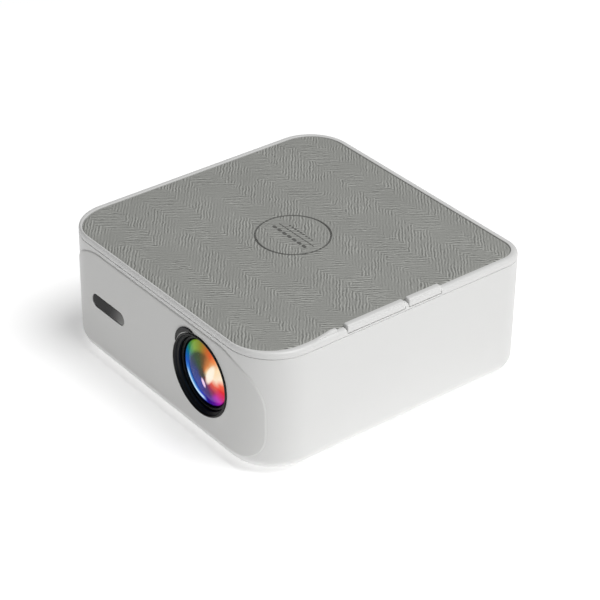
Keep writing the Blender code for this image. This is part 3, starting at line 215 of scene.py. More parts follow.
def between(value, low, high):
    # 0 below low, 1 above high, a smooth step in between
    settings = {"interpolation_type": "SMOOTHSTEP"}
    return value.node("MapRange", settings, {0: value, 1: low, 2: high, 3: 0.0, 4: 1.0})


mouldedLooks = {
    # name: colour, roughness, specular level, grain height, blotch share
    "casingWhite": ((0.815, 0.815, 0.805), 0.36, 0.42, 0.018 * mm, 0.012),
    "panelGreyWhite": ((0.735, 0.735, 0.722), 0.34, 0.40, 0.014 * mm, 0.014),
    "blackPlastic": ((0.0065, 0.0065, 0.0062), 0.42, 0.22, 0.03 * mm, 0.15),
    "darkRubber": ((0.028, 0.028, 0.028), 0.82, 0.30, 0.06 * mm, 0.25),
    "printGrey": ((0.150, 0.150, 0.143), 0.70, 0.20, 0.05 * mm, 0.20),
}


def makeMoulded(name):
    # moulded plastic: a fine spark-eroded grain, faint flow blotches and a little change of gloss
    colour, roughness, specular, grainHeight, blotch = mouldedLooks[name]
    material, draw, shader = newMaterial(name, roughness=roughness, specular=specular)
    place = objectPlace(draw)
    flow = noise(draw, place, 22.0, 3.0)
    grain = noise(draw, place, 2400.0, 2.0)
    pale = (*[min(part * (1 + blotch), 1) for part in colour], 1)
    deep = (*[part * (1 - blotch) for part in colour], 1)
    drive(blend(draw, flow, deep, pale), shader, "Base Color")
    drive(roughness - 0.05 + noise(draw, place, 55.0, 3.0) * 0.10, shader, "Roughness")
    drive(bump(draw, grain, 0.35, grainHeight), shader, "Normal")
    return material


fabricLook = {
    "colour": (0.350, 0.354, 0.334),
    "bandLength": 41.0 * mm,  # two rows of the chevron, front to back
    "bandStart": 9.0 * mm,
    "bandWander": 26.0 * mm,
    "pitch": 2.05 * mm,  # from one yarn to the next
    "strokeLength": 9.0 * mm,
    "strokeWidth": 3.2 * mm,
    "lean": math.radians(39),
    "dark": 0.40,  # shares of the colour between and on the yarns
    "light": 1.78,
    "wobble": 7.5,  # how far the yarns stray from straight, in radians of their wave
    "faint": 0.72,  # strength of the rows that fall, against those that rise
    "lying": 0.24,  # strength left where the yarns lie flat
    "heightScale": 0.26 * mm,
}


def strokes(draw, x, y, lean, look, wobble, seed):
    # parallel yarns a pitch apart that run along the lean, each broken into strokes by stretched noise
    along = x * math.cos(lean) + y * math.sin(lean)
    across = y * math.cos(lean) - x * math.sin(lean)
    wave = across * (2 * math.pi / look["pitch"]) + wobble
    place = joinAxes(draw, along / look["strokeLength"], across / look["strokeWidth"], seed)
    return wave.maths("SINE", wave) * between(noise(draw, place, 1.0, 2.0), 0.30, 0.58)


def makeFabric():
    # chevron cloth: rows along X whose yarns lean one way, then the other, with broken edges between rows
    # and calmer patches where the yarns lie flat
    look = fabricLook
    material, draw, shader = newMaterial(
        "greyFabric", roughness=0.9, specular=0.2, sheen=0.08, sheenRoughness=0.5
    )
    place = objectPlace(draw)
    x, y, _ = axes(draw, place)
    ragged = noise(draw, place, 75.0, 3.0, 0.62) - 0.5
    turn = (y + ragged * look["bandWander"] - look["bandStart"]) * (2 * math.pi / look["bandLength"])
    row = between(turn.maths("SINE", turn), -0.40, 0.05)
    wobble = noise(draw, place, 200.0, 2.0) * look["wobble"]
    falling = strokes(draw, x, y, -look["lean"], look, wobble, 0.0) * look["faint"]
    rising = strokes(draw, x, y, math.pi / 2 - look["lean"], look, wobble, 7.0)
    weave = rising + (falling - rising) * row
    calm = between(noise(draw, place, 62.0, 2.0), 0.36, 0.60)
    weave = weave * (look["lying"] + calm * (1 - look["lying"]))
    yarn = noise(draw, place, 1500.0, 2.0, 0.6) - 0.5
    fleck = between(noise(draw, place, 820.0, 1.0), 0.62, 0.76) * calm
    cloud = noise(draw, place, 30.0, 3.0) - 0.5
    shareUp = 0.46 + weave * 0.46 + yarn * 0.46 + cloud * 0.12 + fleck * 0.22
    deep = (*[part * look["dark"] for part in look["colour"]], 1)
    pale = (*[part * look["light"] for part in look["colour"]], 1)
    drive(blend(draw, shareUp, deep, pale), shader, "Base Color")
    drive(0.84 + yarn * 0.2, shader, "Roughness")
    drive(bump(draw, weave * 0.5 + yarn * 0.4, 0.8, look["heightScale"]), shader, "Normal")
    return material


def makeSmokedWindow():
    # smoked filter: almost black, with a painted sheen that grows towards the right end and fades a little
    # towards the top
    material, draw, shader = newMaterial("smokedWindow", roughness=0.12, specular=0.10)
    place = objectPlace(draw)
    x, _, z = axes(draw, place)
    left = windowLow[0]
    width = windowHigh[0] - windowLow[0]
    # painted sheen on the window: pale towards the right end, a little weaker towards the top
    share = between((x - left) / width, 0.34, 1.10)
    low = between(z, windowLow[2], windowHigh[2])
    paintedShine = share ** 2.0 * (1.0 - low * 0.35)
    paintedShine = paintedShine * (0.9 + noise(draw, place, 260.0, 2.0) * 0.2)
    drive(blend(draw, paintedShine, (0.0022, 0.0022, 0.0021, 1), (0.36, 0.36, 0.35, 1)), shader, "Base Color")
    drive(0.08 + noise(draw, place, 90.0, 2.0) * 0.08, shader, "Roughness")
    return material


lensLook = {
    # angle about the lens axis, in degrees from +X towards +Z, and the colour of the painted coating
    # reflection there
    "outer": [
        (-180, (40, 92, 190)), (-164, (70, 140, 226)), (-127, (96, 168, 238)), (-98, (50, 74, 206)),
        (-80, (40, 20, 132)), (-62, (92, 22, 150)), (-44, (176, 34, 176)), (-30, (206, 24, 110)),
        (-14, (224, 28, 36)), (0, (244, 104, 70)), (14, (255, 236, 210)), (34, (255, 226, 184)),
        (52, (244, 146, 80)), (66, (222, 90, 36)), (82, (190, 98, 26)), (104, (132, 132, 22)),
        (124, (122, 160, 44)), (144, (40, 132, 84)), (160, (16, 104, 160)), (180, (40, 92, 190)),
    ],
    "inner": [
        (-180, (0, 34, 112)), (-140, (0, 40, 128)), (-112, (10, 46, 150)), (-90, (34, 16, 128)),
        (-62, (60, 8, 92)), (-36, (150, 10, 66)), (-14, (226, 84, 60)), (10, (253, 232, 204)),
        (38, (252, 214, 160)), (62, (206, 120, 54)), (84, (110, 70, 14)), (108, (48, 62, 4)),
        (130, (10, 58, 10)), (156, (0, 40, 66)), (180, (0, 34, 112)),
    ],
    "core": (46, 40, 18),
    "rim": (5, 4, 10),
    # strength with which the painted coating reflection is emitted
    "paintedShine": 0.78,
    "depth": 0.62,  # how much of the light that falls on the glass is lost inside it
}


def hueRound(draw, turn, stops):
    # a ramp once round the axis, from (angle, colour) stops
    pairs = [((angle + 180) / 360, screenColour(*colour)) for angle, colour in stops]
    return draw.node("ValToRGB", {"stops": pairs}, {0: turn})


def spot(draw, x, z, centre, size, lean):
    # 1 inside a soft ellipse, 0 outside
    angle = math.radians(lean)
    dx = x - centre[0]
    dz = z - centre[1]
    along = (dx * math.cos(angle) + dz * math.sin(angle)) / size[0]
    across = (dz * math.cos(angle) - dx * math.sin(angle)) / size[1]
    return 1.0 - between(along * along + across * across, 0.25, 1.1)


def makeCoatedGlass():
    # many-layered coating: its painted reflection colours run round the axis, deeper inside, with painted
    # highlights and a painted pale crescent low on one side, and all of it is also emitted, so the glass
    # glows though it is no lamp; distances are shares of the glass's radius
    look = lensLook
    material, draw, shader = newMaterial(
        "coatedGlass", roughness=0.05, specular=0.10, coat=0.06, coatRoughness=0.02,
        emissionStrength=look["paintedShine"],
    )
    place = objectPlace(draw)
    x, _, z = axes(draw, place)
    x = (x - lensX) / glassRadius
    z = (z - lensZ) / glassRadius
    radius = (x * x + z * z) ** 0.5
    turn = z.maths("ARCTAN2", z, x) / (2 * math.pi) + 0.5
    wave = noise(draw, place, 160.0, 2.0) - 0.5
    # painted reflection of the coating: an outer and an inner ring of hues
    outer = hueRound(draw, turn, look["outer"])
    inner = hueRound(draw, turn + wave * 0.05, look["inner"])
    coat = blend(draw, between(radius + wave * 0.09, 0.57, 0.76), inner, outer)
    coat = blend(draw, between(radius, 0.04, 0.30), screenColour(*look["core"]), coat)
    # painted highlight: a cream-white spot right of the middle of the glass
    paintedHighlight = spot(draw, x, z, (0.34, 0.14), (0.42, 0.15), 66)
    coat = blend(draw, paintedHighlight * 0.9, coat, screenColour(255, 246, 228))
    # painted glint: a pale pink spot below the middle of the glass
    paintedPinkGlint = spot(draw, x, z, (0.04, -0.26), (0.17, 0.08), 118)
    coat = blend(draw, paintedPinkGlint * 0.9, coat, screenColour(250, 214, 244))
    # painted reflection: a pale blue crescent low on the left of the glass
    paintedCrescent = between(radius, 0.71, 0.82) * (1.0 - between(radius, 0.86, 0.93))
    paintedCrescent = paintedCrescent * between(turn, 0.03, 0.09) * (1.0 - between(turn, 0.22, 0.27))
    coat = blend(draw, paintedCrescent, coat, screenColour(206, 236, 255))
    coat = blend(draw, between(radius, 0.935, 0.985), coat, screenColour(*look["rim"]))
    drive(blend(draw, look["depth"], coat, (0, 0, 0, 1)), shader, "Base Color")
    # the painted reflection is emitted too, so the glass glows though it is no lamp
    drive(coat, shader, "Emission Color")
    return material


def makeClearPlastic():
    # acrylic sheet: faint rings as on a Fresnel sheet, and a slight haze
    material, draw, shader = newMaterial("clearPlastic", roughness=0.1, specular=0.5, transmission=0.75)
    place = objectPlace(draw)
    _, y, z = axes(draw, place)
    fromAxis = ((y - middleY) * (y - middleY) + (z - lensZ) * (z - lensZ)) ** 0.5
    groove = fromAxis.maths("SINE", fromAxis * 9000.0) * 0.5 + 0.5
    drive(blend(draw, groove, (0.66, 0.72, 0.75, 1), (0.82, 0.86, 0.88, 1)), shader, "Base Color")
    drive(0.08 + noise(draw, place, 120.0) * 0.1, shader, "Roughness")
    return material


def makeMetal(name, colour, roughness, direction):
    # drawn metal: fine scratches along one direction, and a faint tarnish
    material, draw, shader = newMaterial(name, metallic=1.0, roughness=roughness)
    place = objectPlace(draw)
    stretched = draw.node("Mapping", None, {"Vector": place, "Scale": direction})
    scratch = noise(draw, stretched, 1.0, 3.0, 0.6)
    tarnish = noise(draw, place, 60.0, 3.0)
    deep = (*[part * 0.82 for part in colour], 1)
    drive(blend(draw, tarnish, deep, (*colour, 1)), shader, "Base Color")
    drive(roughness - 0.08 + scratch * 0.2, shader, "Roughness")
    drive(bump(draw, scratch, 0.25, 0.02 * mm), shader, "Normal")
    return material


def makeCircuitBoard():
    # solder resist over copper: squared tracks show as a lighter green, with small tinned pads
    material, draw, shader = newMaterial("circuitBoard", roughness=0.4, specular=0.5)
    place = objectPlace(draw)
    settings = {"distance": "CHEBYCHEV", "feature": "F1"}
    cells = draw.node("TexVoronoi", settings, {"Vector": place, "Scale": 260.0})
    tracks = between(cells, 0.30, 0.36) * (1.0 - between(cells, 0.42, 0.48))
    pads = 1.0 - between(cells, 0.09, 0.12)
    green = blend(draw, tracks, (0.012, 0.10, 0.045, 1), (0.03, 0.20, 0.085, 1))
    drive(blend(draw, pads, green, (0.62, 0.60, 0.55, 1)), shader, "Base Color")
    drive(pads * 0.8, shader, "Metallic")
    drive(bump(draw, tracks + pads, 0.4, 0.05 * mm), shader, "Normal")
    return material


def makeFilterFoam():
    # open-cell foam: dark pores between paler struts
    material, draw, shader = newMaterial("filterFoam", roughness=0.95, specular=0.1)
    place = objectPlace(draw)
    pore = draw.node("TexVoronoi", {"feature": "F1"}, {"Vector": place, "Scale": 900.0})
    foam = blend(draw, between(pore, 0.2, 0.6), (0.01, 0.01, 0.012, 1), (0.09, 0.09, 0.10, 1))
    drive(foam, shader, "Base Color")
    drive(bump(draw, pore, 0.9, 0.5 * mm), shader, "Normal")
    return material


finishes = {
    "casing_white": makeMoulded("casingWhite"),
    "panel_grey_white": makeMoulded("panelGreyWhite"),
    "black_plastic": makeMoulded("blackPlastic"),
    "dark_rubber": makeMoulded("darkRubber"),
    "grey_fabric": makeFabric(),
    "smoked_window": makeSmokedWindow(),
    "coated_glass": makeCoatedGlass(),
    "clear_plastic": makeClearPlastic(),
    "mirror": makeMetal("mirrorGlass", (0.90, 0.90, 0.92), 0.10, (300.0, 300.0, 300.0)),
    "circuit_board": makeCircuitBoard(),
    "aluminium": makeMetal("aluminium", (0.70, 0.70, 0.72), 0.36, (40.0, 1400.0, 1400.0)),
    "steel": makeMetal("steel", (0.55, 0.55, 0.57), 0.30, (900.0, 900.0, 900.0)),
    "filter_foam": makeFilterFoam(),
}
printGrey = makeMoulded("printGrey")
print("materials made:", len(finishes) + 1)

slotOf = {part["node"]: part["material_slot"] for part in frame["record"]["subparts"]}
bodyOf = {node: body for body, nodes in frame["record"]["behaviour"]["bodies"].items() for node in nodes}


# Mesh helpers


def gridFaces(rows, columns, wrapRows, wrapColumns):
    # each cell's four corners; the last row or column joins the first where it wraps
    i = np.arange(rows if wrapRows else rows - 1)
    j = np.arange(columns if wrapColumns else columns - 1)
    i, j = np.meshgrid(i, j, indexing="ij")
    nextI = (i + 1) % rows
    nextJ = (j + 1) % columns
    corners = [i * columns + j, i * columns + nextJ, nextI * columns + nextJ, nextI * columns + j]
    return np.stack(corners, axis=-1).reshape(-1, 4)


def gridMesh(name, grid, wrapRows=False, capRows=True):
    # a mesh from an array of rows of points, each row closed on itself, with its first and last row capped
    rows, columns = grid.shape[:2]
    faces = gridFaces(rows, columns, wrapRows, True).tolist()
    if capRows and not wrapRows:
        faces.append(list(range(columns))[::-1])
        faces.append(list(range((rows - 1) * columns, rows * columns)))
    mesh = bpy.data.meshes.new(name)
    mesh.from_pydata(grid.reshape(-1, 3).tolist(), [], faces)
    tidyMesh(mesh)
    return mesh


def tidyMesh(mesh, weld=1e-7, flat=None):
    # merges doubled points, drops cells that closed up, and turns every face outwards
    work = bmesh.new()
    work.from_mesh(mesh)
    bmesh.ops.remove_doubles(work, verts=work.verts, dist=weld)
    bmesh.ops.dissolve_degenerate(work, edges=work.edges, dist=weld)
    if flat is not None:
        bmesh.ops.dissolve_limit(work, angle_limit=flat, verts=work.verts, edges=work.edges)
    bmesh.ops.recalc_face_normals(work, faces=work.faces)
    work.to_mesh(mesh)
    work.free()


def shade(mesh, angle):
    # smooth, but sharp across edges that turn by more than the angle
    mesh.polygons.foreach_set("use_smooth", np.ones(len(mesh.polygons), dtype=bool))
    mesh.set_sharp_from_angle(angle=math.radians(angle))


def addObject(name, mesh):
    made = bpy.data.objects.new(name, mesh)
    bpy.context.scene.collection.objects.link(made)
    return made


def carve(piece, cutters, operation="DIFFERENCE"):
    # Boolean with each closed cutter, applied
    for cutter in cutters:
        modifier = piece.modifiers.new("carve", "BOOLEAN")
        modifier.operation = operation
        modifier.solver = "EXACT"
        modifier.object = cutter
        graph = bpy.context.evaluated_depsgraph_get()
        result = bpy.data.meshes.new_from_object(piece.evaluated_get(graph))
        piece.modifiers.clear()
        old = piece.data
        piece.data = result
        bpy.data.meshes.remove(old)
        bpy.data.objects.remove(cutter)
    tidyMesh(piece.data, 2e-6)


def softenEdges(piece, width, segments=2, angle=32):
    bevel = piece.modifiers.new("softEdges", "BEVEL")
    bevel.width = width
    bevel.segments = segments
    bevel.limit_method = "ANGLE"
    bevel.angle_limit = math.radians(angle)
    bevel.harden_normals = True


def finishPiece(piece, body, slot, nodes, material=None, angle=35):
    piece.data.materials.clear()
    piece.data.materials.append(material or finishes[slot])
    shade(piece.data, angle)
    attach(piece, body)
    if nodes:
        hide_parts(*nodes)
    return piece


def boxCutter(name, low, high):
    x, y, z = zip(low, high)
    square = np.array([(x[0], y[0]), (x[1], y[0]), (x[1], y[1]), (x[0], y[1])])
    levels = [np.column_stack([square, np.full(4, level)]) for level in z]
    return addObject(name, gridMesh(name, np.array(levels)))


def turnedGrid(centre, profile, steps, axis="y"):
    # the profile's (radius, distance) pairs carried round the axis: centre + distance along it,
    # radius times cosine and sine of the turn across it
    radius, distance = np.array(profile, dtype=float).T
    turn = np.arange(steps) * (2 * math.pi / steps)
    first = radius[:, None] * np.cos(turn)
    second = radius[:, None] * np.sin(turn)
    along = np.repeat(distance[:, None], steps, axis=1)
    order = {"y": (first, along, second), "z": (first, second, along), "x": (along, first, second)}[axis]
    return np.stack(order, axis=-1) + np.array(centre)


def arc(centre, radius, start, end, steps):
    # points on a circle from one angle to another, in degrees
    angle = np.radians(np.linspace(start, end, steps))
    return [(centre[0] + radius * math.cos(a), centre[1] + radius * math.sin(a)) for a in angle]


# Casing


def casingRing(inset, z, frontInset=None):
    # four corner arcs joined by straight sides: each arc's radius is its full radius less the inset,
    # and its centre lies that radius and the inset in from both sides; the front may have its own inset
    frontInset = inset if frontInset is None else frontInset
    corners = ("frontRightRadius", "backRightRadius", "backLeftRadius", "frontLeftRadius")
    radii = [casing[corner] for corner in corners]
    sides = [(1, -1), (1, 1), (-1, 1), (-1, -1)]
    quarter = np.linspace(0, math.pi / 2, casing["cornerSteps"] + 1)
    runs = []
    for number, (full, (sideX, sideY)) in enumerate(zip(radii, sides)):
        insetY = frontInset if sideY < 0 else inset
        radiusX = max(full - inset, 1 * mm)
        radiusY = max(full - insetY, 1 * mm)
        centreX = sideX * (halfWidth - inset - radiusX)
        centreY = middleY + sideY * (halfDepth - insetY - radiusY)
        angle = quarter + math.pi / 2 * (number - 1)
        runs.append(np.column_stack([centreX + radiusX * np.cos(angle), centreY + radiusY * np.sin(angle)]))
    share = np.linspace(0, 1, casing["sideSteps"] + 1)[1:-1, None]
    points = []
    for number in range(4):
        start = runs[number][-1]
        end = runs[(number + 1) % 4][0]
        points += [runs[number], start + (end - start) * share]
    outline = np.vstack(points)
    return np.column_stack([outline, np.full(len(outline), z)])


def casingGrid(profile, frontShare=1.0):
    # a ring for each (inset, height) of the profile; along the front the inset is a share of it
    return np.array([casingRing(inset, z, inset * frontShare) for inset, z in profile])


frontLook = {
    "wrap": math.radians(46),
    "proud": 0.6 * mm,
    "thickness": 1.8 * mm,
    "topCorner": 39 * mm,
    "bottomCorner": 18.5 * mm,
    "edgeWidth": 1.0 * mm,
    "edgeDrop": 0.58 * mm,
    "edgePower": 1.3,
    "gap": 0.03 * mm,  # the hairline left round the panel
}


def frontPoint(along, out):
    # a point that follows the casing's front and turns with its corners: past the straight part it goes
    # round the corner by the distance over the corner's radius
    left = along < 0
    radius = np.where(left, casing["frontLeftRadius"], casing["frontRightRadius"])
    side = np.where(left, -1.0, 1.0)
    straight = halfWidth - radius
    past = np.maximum(np.abs(along) - straight, 0)
    angle = past / radius
    x = side * (np.minimum(np.abs(along), straight) + (radius + out) * np.sin(angle))
    y = frontY + radius - (radius + out) * np.cos(angle)
    return x, y


def edgeDistance(along, z, left, right, low, high, topCorner, bottomCorner):
    # how far inside the panel's rounded outline a point is: the rounded-rectangle distance,
    # with the corner's own radius in the upper and the lower half
    middleS, middleZ = (left + right) / 2, (low + high) / 2
    corner = np.where(z > middleZ, topCorner, bottomCorner)
    qs = np.abs(along - middleS) - (right - left) / 2 + corner
    qz = np.abs(z - middleZ) - (high - low) / 2 + corner
    outside = np.hypot(np.maximum(qs, 0), np.maximum(qz, 0))
    return corner - outside - np.minimum(np.maximum(qs, qz), 0)


def cornerRise(fromEnd, radius):
    # how far a round corner has still to rise at a distance from the end: the radius less the height
    # of its circle there, and nothing past the corner
    height = np.sqrt(np.maximum(radius * radius - (radius - fromEnd) ** 2, 0))
    return np.where(fromEnd < radius, radius - height, 0)


def panelGrid(grow, backOut, frontOut=None):
    # columns along the front, each a closed loop: up the front face and down the back one; the front
    # falls by the edge drop times how near the edge it is, from 0 to 1, to the edge's power
    look = frontLook
    corners = casing["frontLeftRadius"], casing["frontRightRadius"]
    reach = [halfWidth - r + r * look["wrap"] for r in corners]
    left, right = -reach[0] - grow, reach[1] + grow
    low, high = panelLow[2] - grow, panelHigh[2] + grow
    topCorner, bottomCorner = look["topCorner"] + grow, look["bottomCorner"] + grow
    near = np.array([0, 0.08, 0.2, 0.4, 0.65, 0.95, 1.3, 1.7, 2.2, 2.8, 3.4, 4.2, 5.4, 7, 9]) * mm
    evenly = np.arange(left + 11 * mm, right - 10 * mm, 1.8 * mm)
    along = np.concatenate([left + near, evenly, right - near[::-1]])
    fromEnd = np.minimum(along - left, right - along)
    bottom = low + cornerRise(fromEnd, bottomCorner)
    top = high - cornerRise(fromEnd, topCorner)
    edge = near[:11]
    middle = np.linspace(0, 1, 26)[1:-1]
    inner = bottom[:, None] + edge[-1] + (top - bottom - 2 * edge[-1])[:, None] * middle
    z = np.hstack([bottom[:, None] + edge, inner, top[:, None] - edge[::-1]])
    s = np.repeat(along[:, None], z.shape[1], axis=1)
    if frontOut is None:
        inside = edgeDistance(s, z, left, right, low, high, topCorner, bottomCorner)
        short = 1 - np.clip(inside / look["edgeWidth"], 0, 1)
        front = look["proud"] - look["edgeDrop"] * short ** look["edgePower"]
    else:
        front = np.full_like(z, frontOut)
    back = np.full_like(z, backOut)
    loopS = np.hstack([s, s[:, ::-1]])
    loopZ = np.hstack([z, z[:, ::-1]])
    x, y = frontPoint(loopS, np.hstack([front, back[:, ::-1]]))
    return np.stack([x, y, loopZ], axis=-1)


def pillGrid(centre, size, profile, steps=20):
    # a pill outline shrunk by each inset of the profile, at each distance along Y
    turn = np.linspace(-math.pi / 2, math.pi / 2, steps)
    rows = []
    for inset, y in profile:
        radius = max(size[1] / 2 - inset, 0.01 * mm)
        half = size[0] / 2 - size[1] / 2
        x = np.concatenate([half + radius * np.cos(turn), -half - radius * np.cos(turn)])
        z = np.concatenate([radius * np.sin(turn), -radius * np.sin(turn)])
        rows.append(np.column_stack([centre[0] + x, np.full(len(x), y), centre[1] + z]))
    return np.array(rows)


openingLook = {"ringRadius": 28.5 * mm, "windowSpace": 0.3 * mm, "ahead": 3 * mm, "behind": 6 * mm}
windowCentre = ((windowLow[0] + windowHigh[0]) / 2, (windowLow[2] + windowHigh[2]) / 2)
windowSize = (windowHigh[0] - windowLow[0], windowHigh[2] - windowLow[2])


def frontOpenings():
    # cutters for the focus ring's round hole and the window's pill-shaped one, through the front
    look = openingLook
    radius, low, high = look["ringRadius"], -look["ahead"], look["behind"]
    hole = turnedGrid((lensX, frontY, lensZ), [(0, low), (radius, low), (radius, high), (0, high)], 96)
    size = windowSize[0] + 2 * look["windowSpace"], windowSize[1] + 2 * look["windowSpace"]
    slot = pillGrid(windowCentre, size, [(0, frontY + low), (0, frontY + high)])
    return [addObject("hole", gridMesh("hole", hole)), addObject("slot", gridMesh("slot", slot))]


def makeBodyShell():
    # the casing's outline carried up a profile: flat base, round lower edge, straight side,
    # and back down inside
    look = casing
    edge, wall, low, top = look["bottomEdge"], look["wall"], shellLow[2], seamZ - look["seam"]
    inner = edge - wall
    lip = look["lip"]
    outside = np.radians(np.linspace(0, 90, 17))
    inside = np.radians(np.linspace(80, 0, 9))
    profile = [(look["baseInset"], low)]
    profile += [(edge - edge * math.sin(a), low + edge - edge * math.cos(a)) for a in outside]
    profile += [(0, z) for z in np.linspace(low + edge, top - lip, 9)[1:]]
    profile += [(lip, top), (wall - lip, top), (wall, top - lip)]
    profile += [(wall, low + edge)]
    profile += [(edge - inner * math.sin(a), low + edge - inner * math.cos(a)) for a in inside]
    ledge = look["baseInset"] + look["baseLedge"]
    rebate = low + look["baseRebate"]
    profile += [(ledge, low + wall), (ledge, rebate), (look["baseInset"], rebate)]
    shell = addObject("casingShell", gridMesh("casingShell", casingGrid(profile), wrapRows=True))

    gap = look["gap"]
    ahead, behind = openingLook["ahead"], openingLook["behind"]
    recess = frontLook["proud"] - frontLook["thickness"] - gap
    cutters = [addObject("recess", gridMesh("recess", panelGrid(frontLook["gap"], recess, ahead)))]
    cutters += frontOpenings()
    for node in ("side_grille", "rear_panel", "filter_cover"):
        lowCorner, highCorner = [np.array(corner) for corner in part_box(node)]
        across = 0 if node == "side_grille" else 1
        sign = -1 if node == "side_grille" else 1
        lowCorner -= gap
        highCorner += gap
        face = sign * halfWidth if across == 0 else backY
        lowCorner[across] = min(face - sign * behind, face + sign * ahead)
        highCorner[across] = max(face - sign * behind, face + sign * ahead)
        cutters.append(boxCutter("opening", lowCorner, highCorner))
    carve(shell, cutters)
    return finishPiece(shell, "casing", "casing_white", ["body_shell"], angle=30)


coverLook = {
    "rim": 4.8 * mm,
    "frontRim": 1.6 * mm,
    "outerEdge": 3 * mm,
    "innerEdge": 0.5 * mm,
    "lipWidth": 2 * mm,
    "lipDepth": 4 * mm,
    "deck": 1.8 * mm,
    "floor": 1.8 * mm,
    "keySpace": 0.4 * mm,
    "keyReach": 8 * mm,
    "shelf": 1.2 * mm,
    "rampStart": -67 * mm,
    "rampLength": 17 * mm,
    "rampWidth": 2.6 * mm,
    "rampRise": 2.4 * mm,
    "rampCrest": 0.72,  # shares of the ramp's length where it stops rising, and where its end falls
    "rampEnd": 0.94,
    "rampFall": 0.5 * mm,
    "rampPower": 1.15,
}


def rampGrid(inner):
    # the finger ramp on the rim: its section carried along Y, as high as its share of the way to the
    # crest, to a power, with its far end let down in a straight line
    look = coverLook
    share = np.linspace(0, 1, 25)
    end = look["rampEnd"]
    rise = look["rampRise"] * np.minimum(share / look["rampCrest"], 1) ** look["rampPower"]
    rise = rise - np.where(share > end, (share - end) / (1 - end) * look["rampFall"], 0)
    section = np.array([
        (0, -1), (1, -1), (1, 0.62), (0.86, 0.90), (0.62, 1.0), (0.30, 1.0), (0.06, 0.86), (0, 0.6),
    ])
    x = inner + 0.1 * mm + section[:, 0] * look["rampWidth"]
    y = middleY + look["rampStart"] + look["rampLength"] * share
    root, bury = coverTop - 0.4 * mm, 0.3 * mm
    up = section[None, :, 1]
    z = np.where(up < 0, root, coverTop - bury + (rise[:, None] + bury) * up)
    x = np.repeat(x[None], len(share), 0)
    y = np.repeat(y[:, None], len(section), 1)
    return np.stack([x, y, z], axis=-1)


def makeTopCover():
    # the casing's outline carried over the rim: lip, side, round top edge, rim and the floor
    # under the fabric
    look = coverLook
    floorZ = coverTop - look["floor"]
    lipOut = casing["wall"] + casing["gap"]
    lipIn = lipOut + look["lipWidth"]
    lipLow = seamZ - look["lipDepth"]
    edge = look["outerEdge"]
    soft = look["innerEdge"]
    deckLow = floorZ - look["deck"]
    profile = [(lipIn + 6 * mm, deckLow), (lipIn, deckLow), (lipIn, lipLow), (lipOut, lipLow)]
    profile += [(lipOut, seamZ), (0.2 * mm, seamZ), (0, seamZ + 0.2 * mm)]
    outside = np.radians(np.linspace(0, 90, 13))
    inside = np.radians(np.linspace(0, 90, 6))
    turnIn = look["rim"] - soft
    upper = [(edge - edge * math.cos(a), coverTop - edge + edge * math.sin(a)) for a in outside]
    upper += [(turnIn + soft * math.sin(a), coverTop - soft + soft * math.cos(a)) for a in inside]
    upper += [(look["rim"], floorZ), (look["rim"] + 6 * mm, floorZ)]
    grid = np.vstack([casingGrid(profile), casingGrid(upper, look["frontRim"] / look["rim"])])
    cover = addObject("topRim", gridMesh("topRim", grid))

    cutters = []
    inner = halfWidth - look["rim"]
    for node in ("rocker_key", "power_key"):
        keyLow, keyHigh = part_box(node)
        low = inner - look["keyReach"], keyLow[1] - look["keySpace"]
        high = keyHigh[1] + look["keySpace"], coverTop + 3 * mm
        cutters.append(boxCutter("ledge", (*low, seamZ + look["shelf"]), (halfWidth + 3 * mm, *high)))
        cutters.append(boxCutter("room", (*low, seamZ + 0.5 * mm), (inner + 0.8 * mm, *high)))
    carve(cover, cutters)

    carve(cover, [addObject("ramp", gridMesh("ramp", rampGrid(inner)))], "UNION")
    return finishPiece(cover, "casing", "casing_white", ["top_cover"], angle=30)


def roundToCircle(outline, radius, z):
    # the outline's points moved onto a circle about the middle, each along its own direction
    flat = outline[:, :2] - np.array([0, middleY])
    angle = np.arctan2(flat[:, 1], flat[:, 0])
    return np.column_stack([radius * np.cos(angle), middleY + radius * np.sin(angle), np.full(len(angle), z)])


fabricPanelLook = {
    "inset": 5.1 * mm,
    "frontInset": 1.9 * mm,
    "edge": 1.6 * mm,  # how far in from its edge the sheet turns down
    "frontEdge": 3.2 * mm,
    "drop": 0.95 * mm,
    "grooveWidth": 0.7 * mm,
    "grooveDepth": 0.5 * mm,
}


def makeFabricPanel():
    # a thin padded sheet: rounded edge, then a flat top that runs from the casing's outline
    # to the emblem's circle
    look = fabricPanelLook
    low, high = fabricLow[2], fabricHigh[2]
    inset, frontInset = look["inset"], look["frontInset"]
    rows = [roundToCircle(casingRing(inset, low), 0.01 * mm, low)]
    rows += [casingRing(inset + 0.3 * mm, low, frontInset + 0.3 * mm)]
    rows += [casingRing(inset, low + 0.15 * mm, frontInset)]
    for turn in np.radians(np.linspace(0, 90, 10)):
        inwards = 1 - math.cos(turn)
        height = high - look["drop"] * (1 - math.sin(turn))
        frontIn = frontInset + look["frontEdge"] * inwards
        rows.append(casingRing(inset + look["edge"] * inwards, height, frontIn))
    outline = rows[-1]
    ring = (emblemHigh[0] - emblemLow[0]) / 2 - 0.4 * mm
    half = look["grooveWidth"]
    start = roundToCircle(outline, ring + half, high)
    rows += [outline + (start - outline) * share for share in np.linspace(0, 1, 24)[1:]]
    rows += [roundToCircle(outline, ring + half * 0.8, high - look["grooveDepth"])]
    rows += [roundToCircle(outline, ring - half * 0.8, high - look["grooveDepth"])]
    rows += [roundToCircle(outline, radius, high) for radius in np.linspace(ring - half, 0.01 * mm, 8)]
    panel = addObject("fabricTop", gridMesh("fabricTop", np.array(rows)))
    return finishPiece(panel, "casing", "grey_fabric", ["fabric_panel"], angle=50)


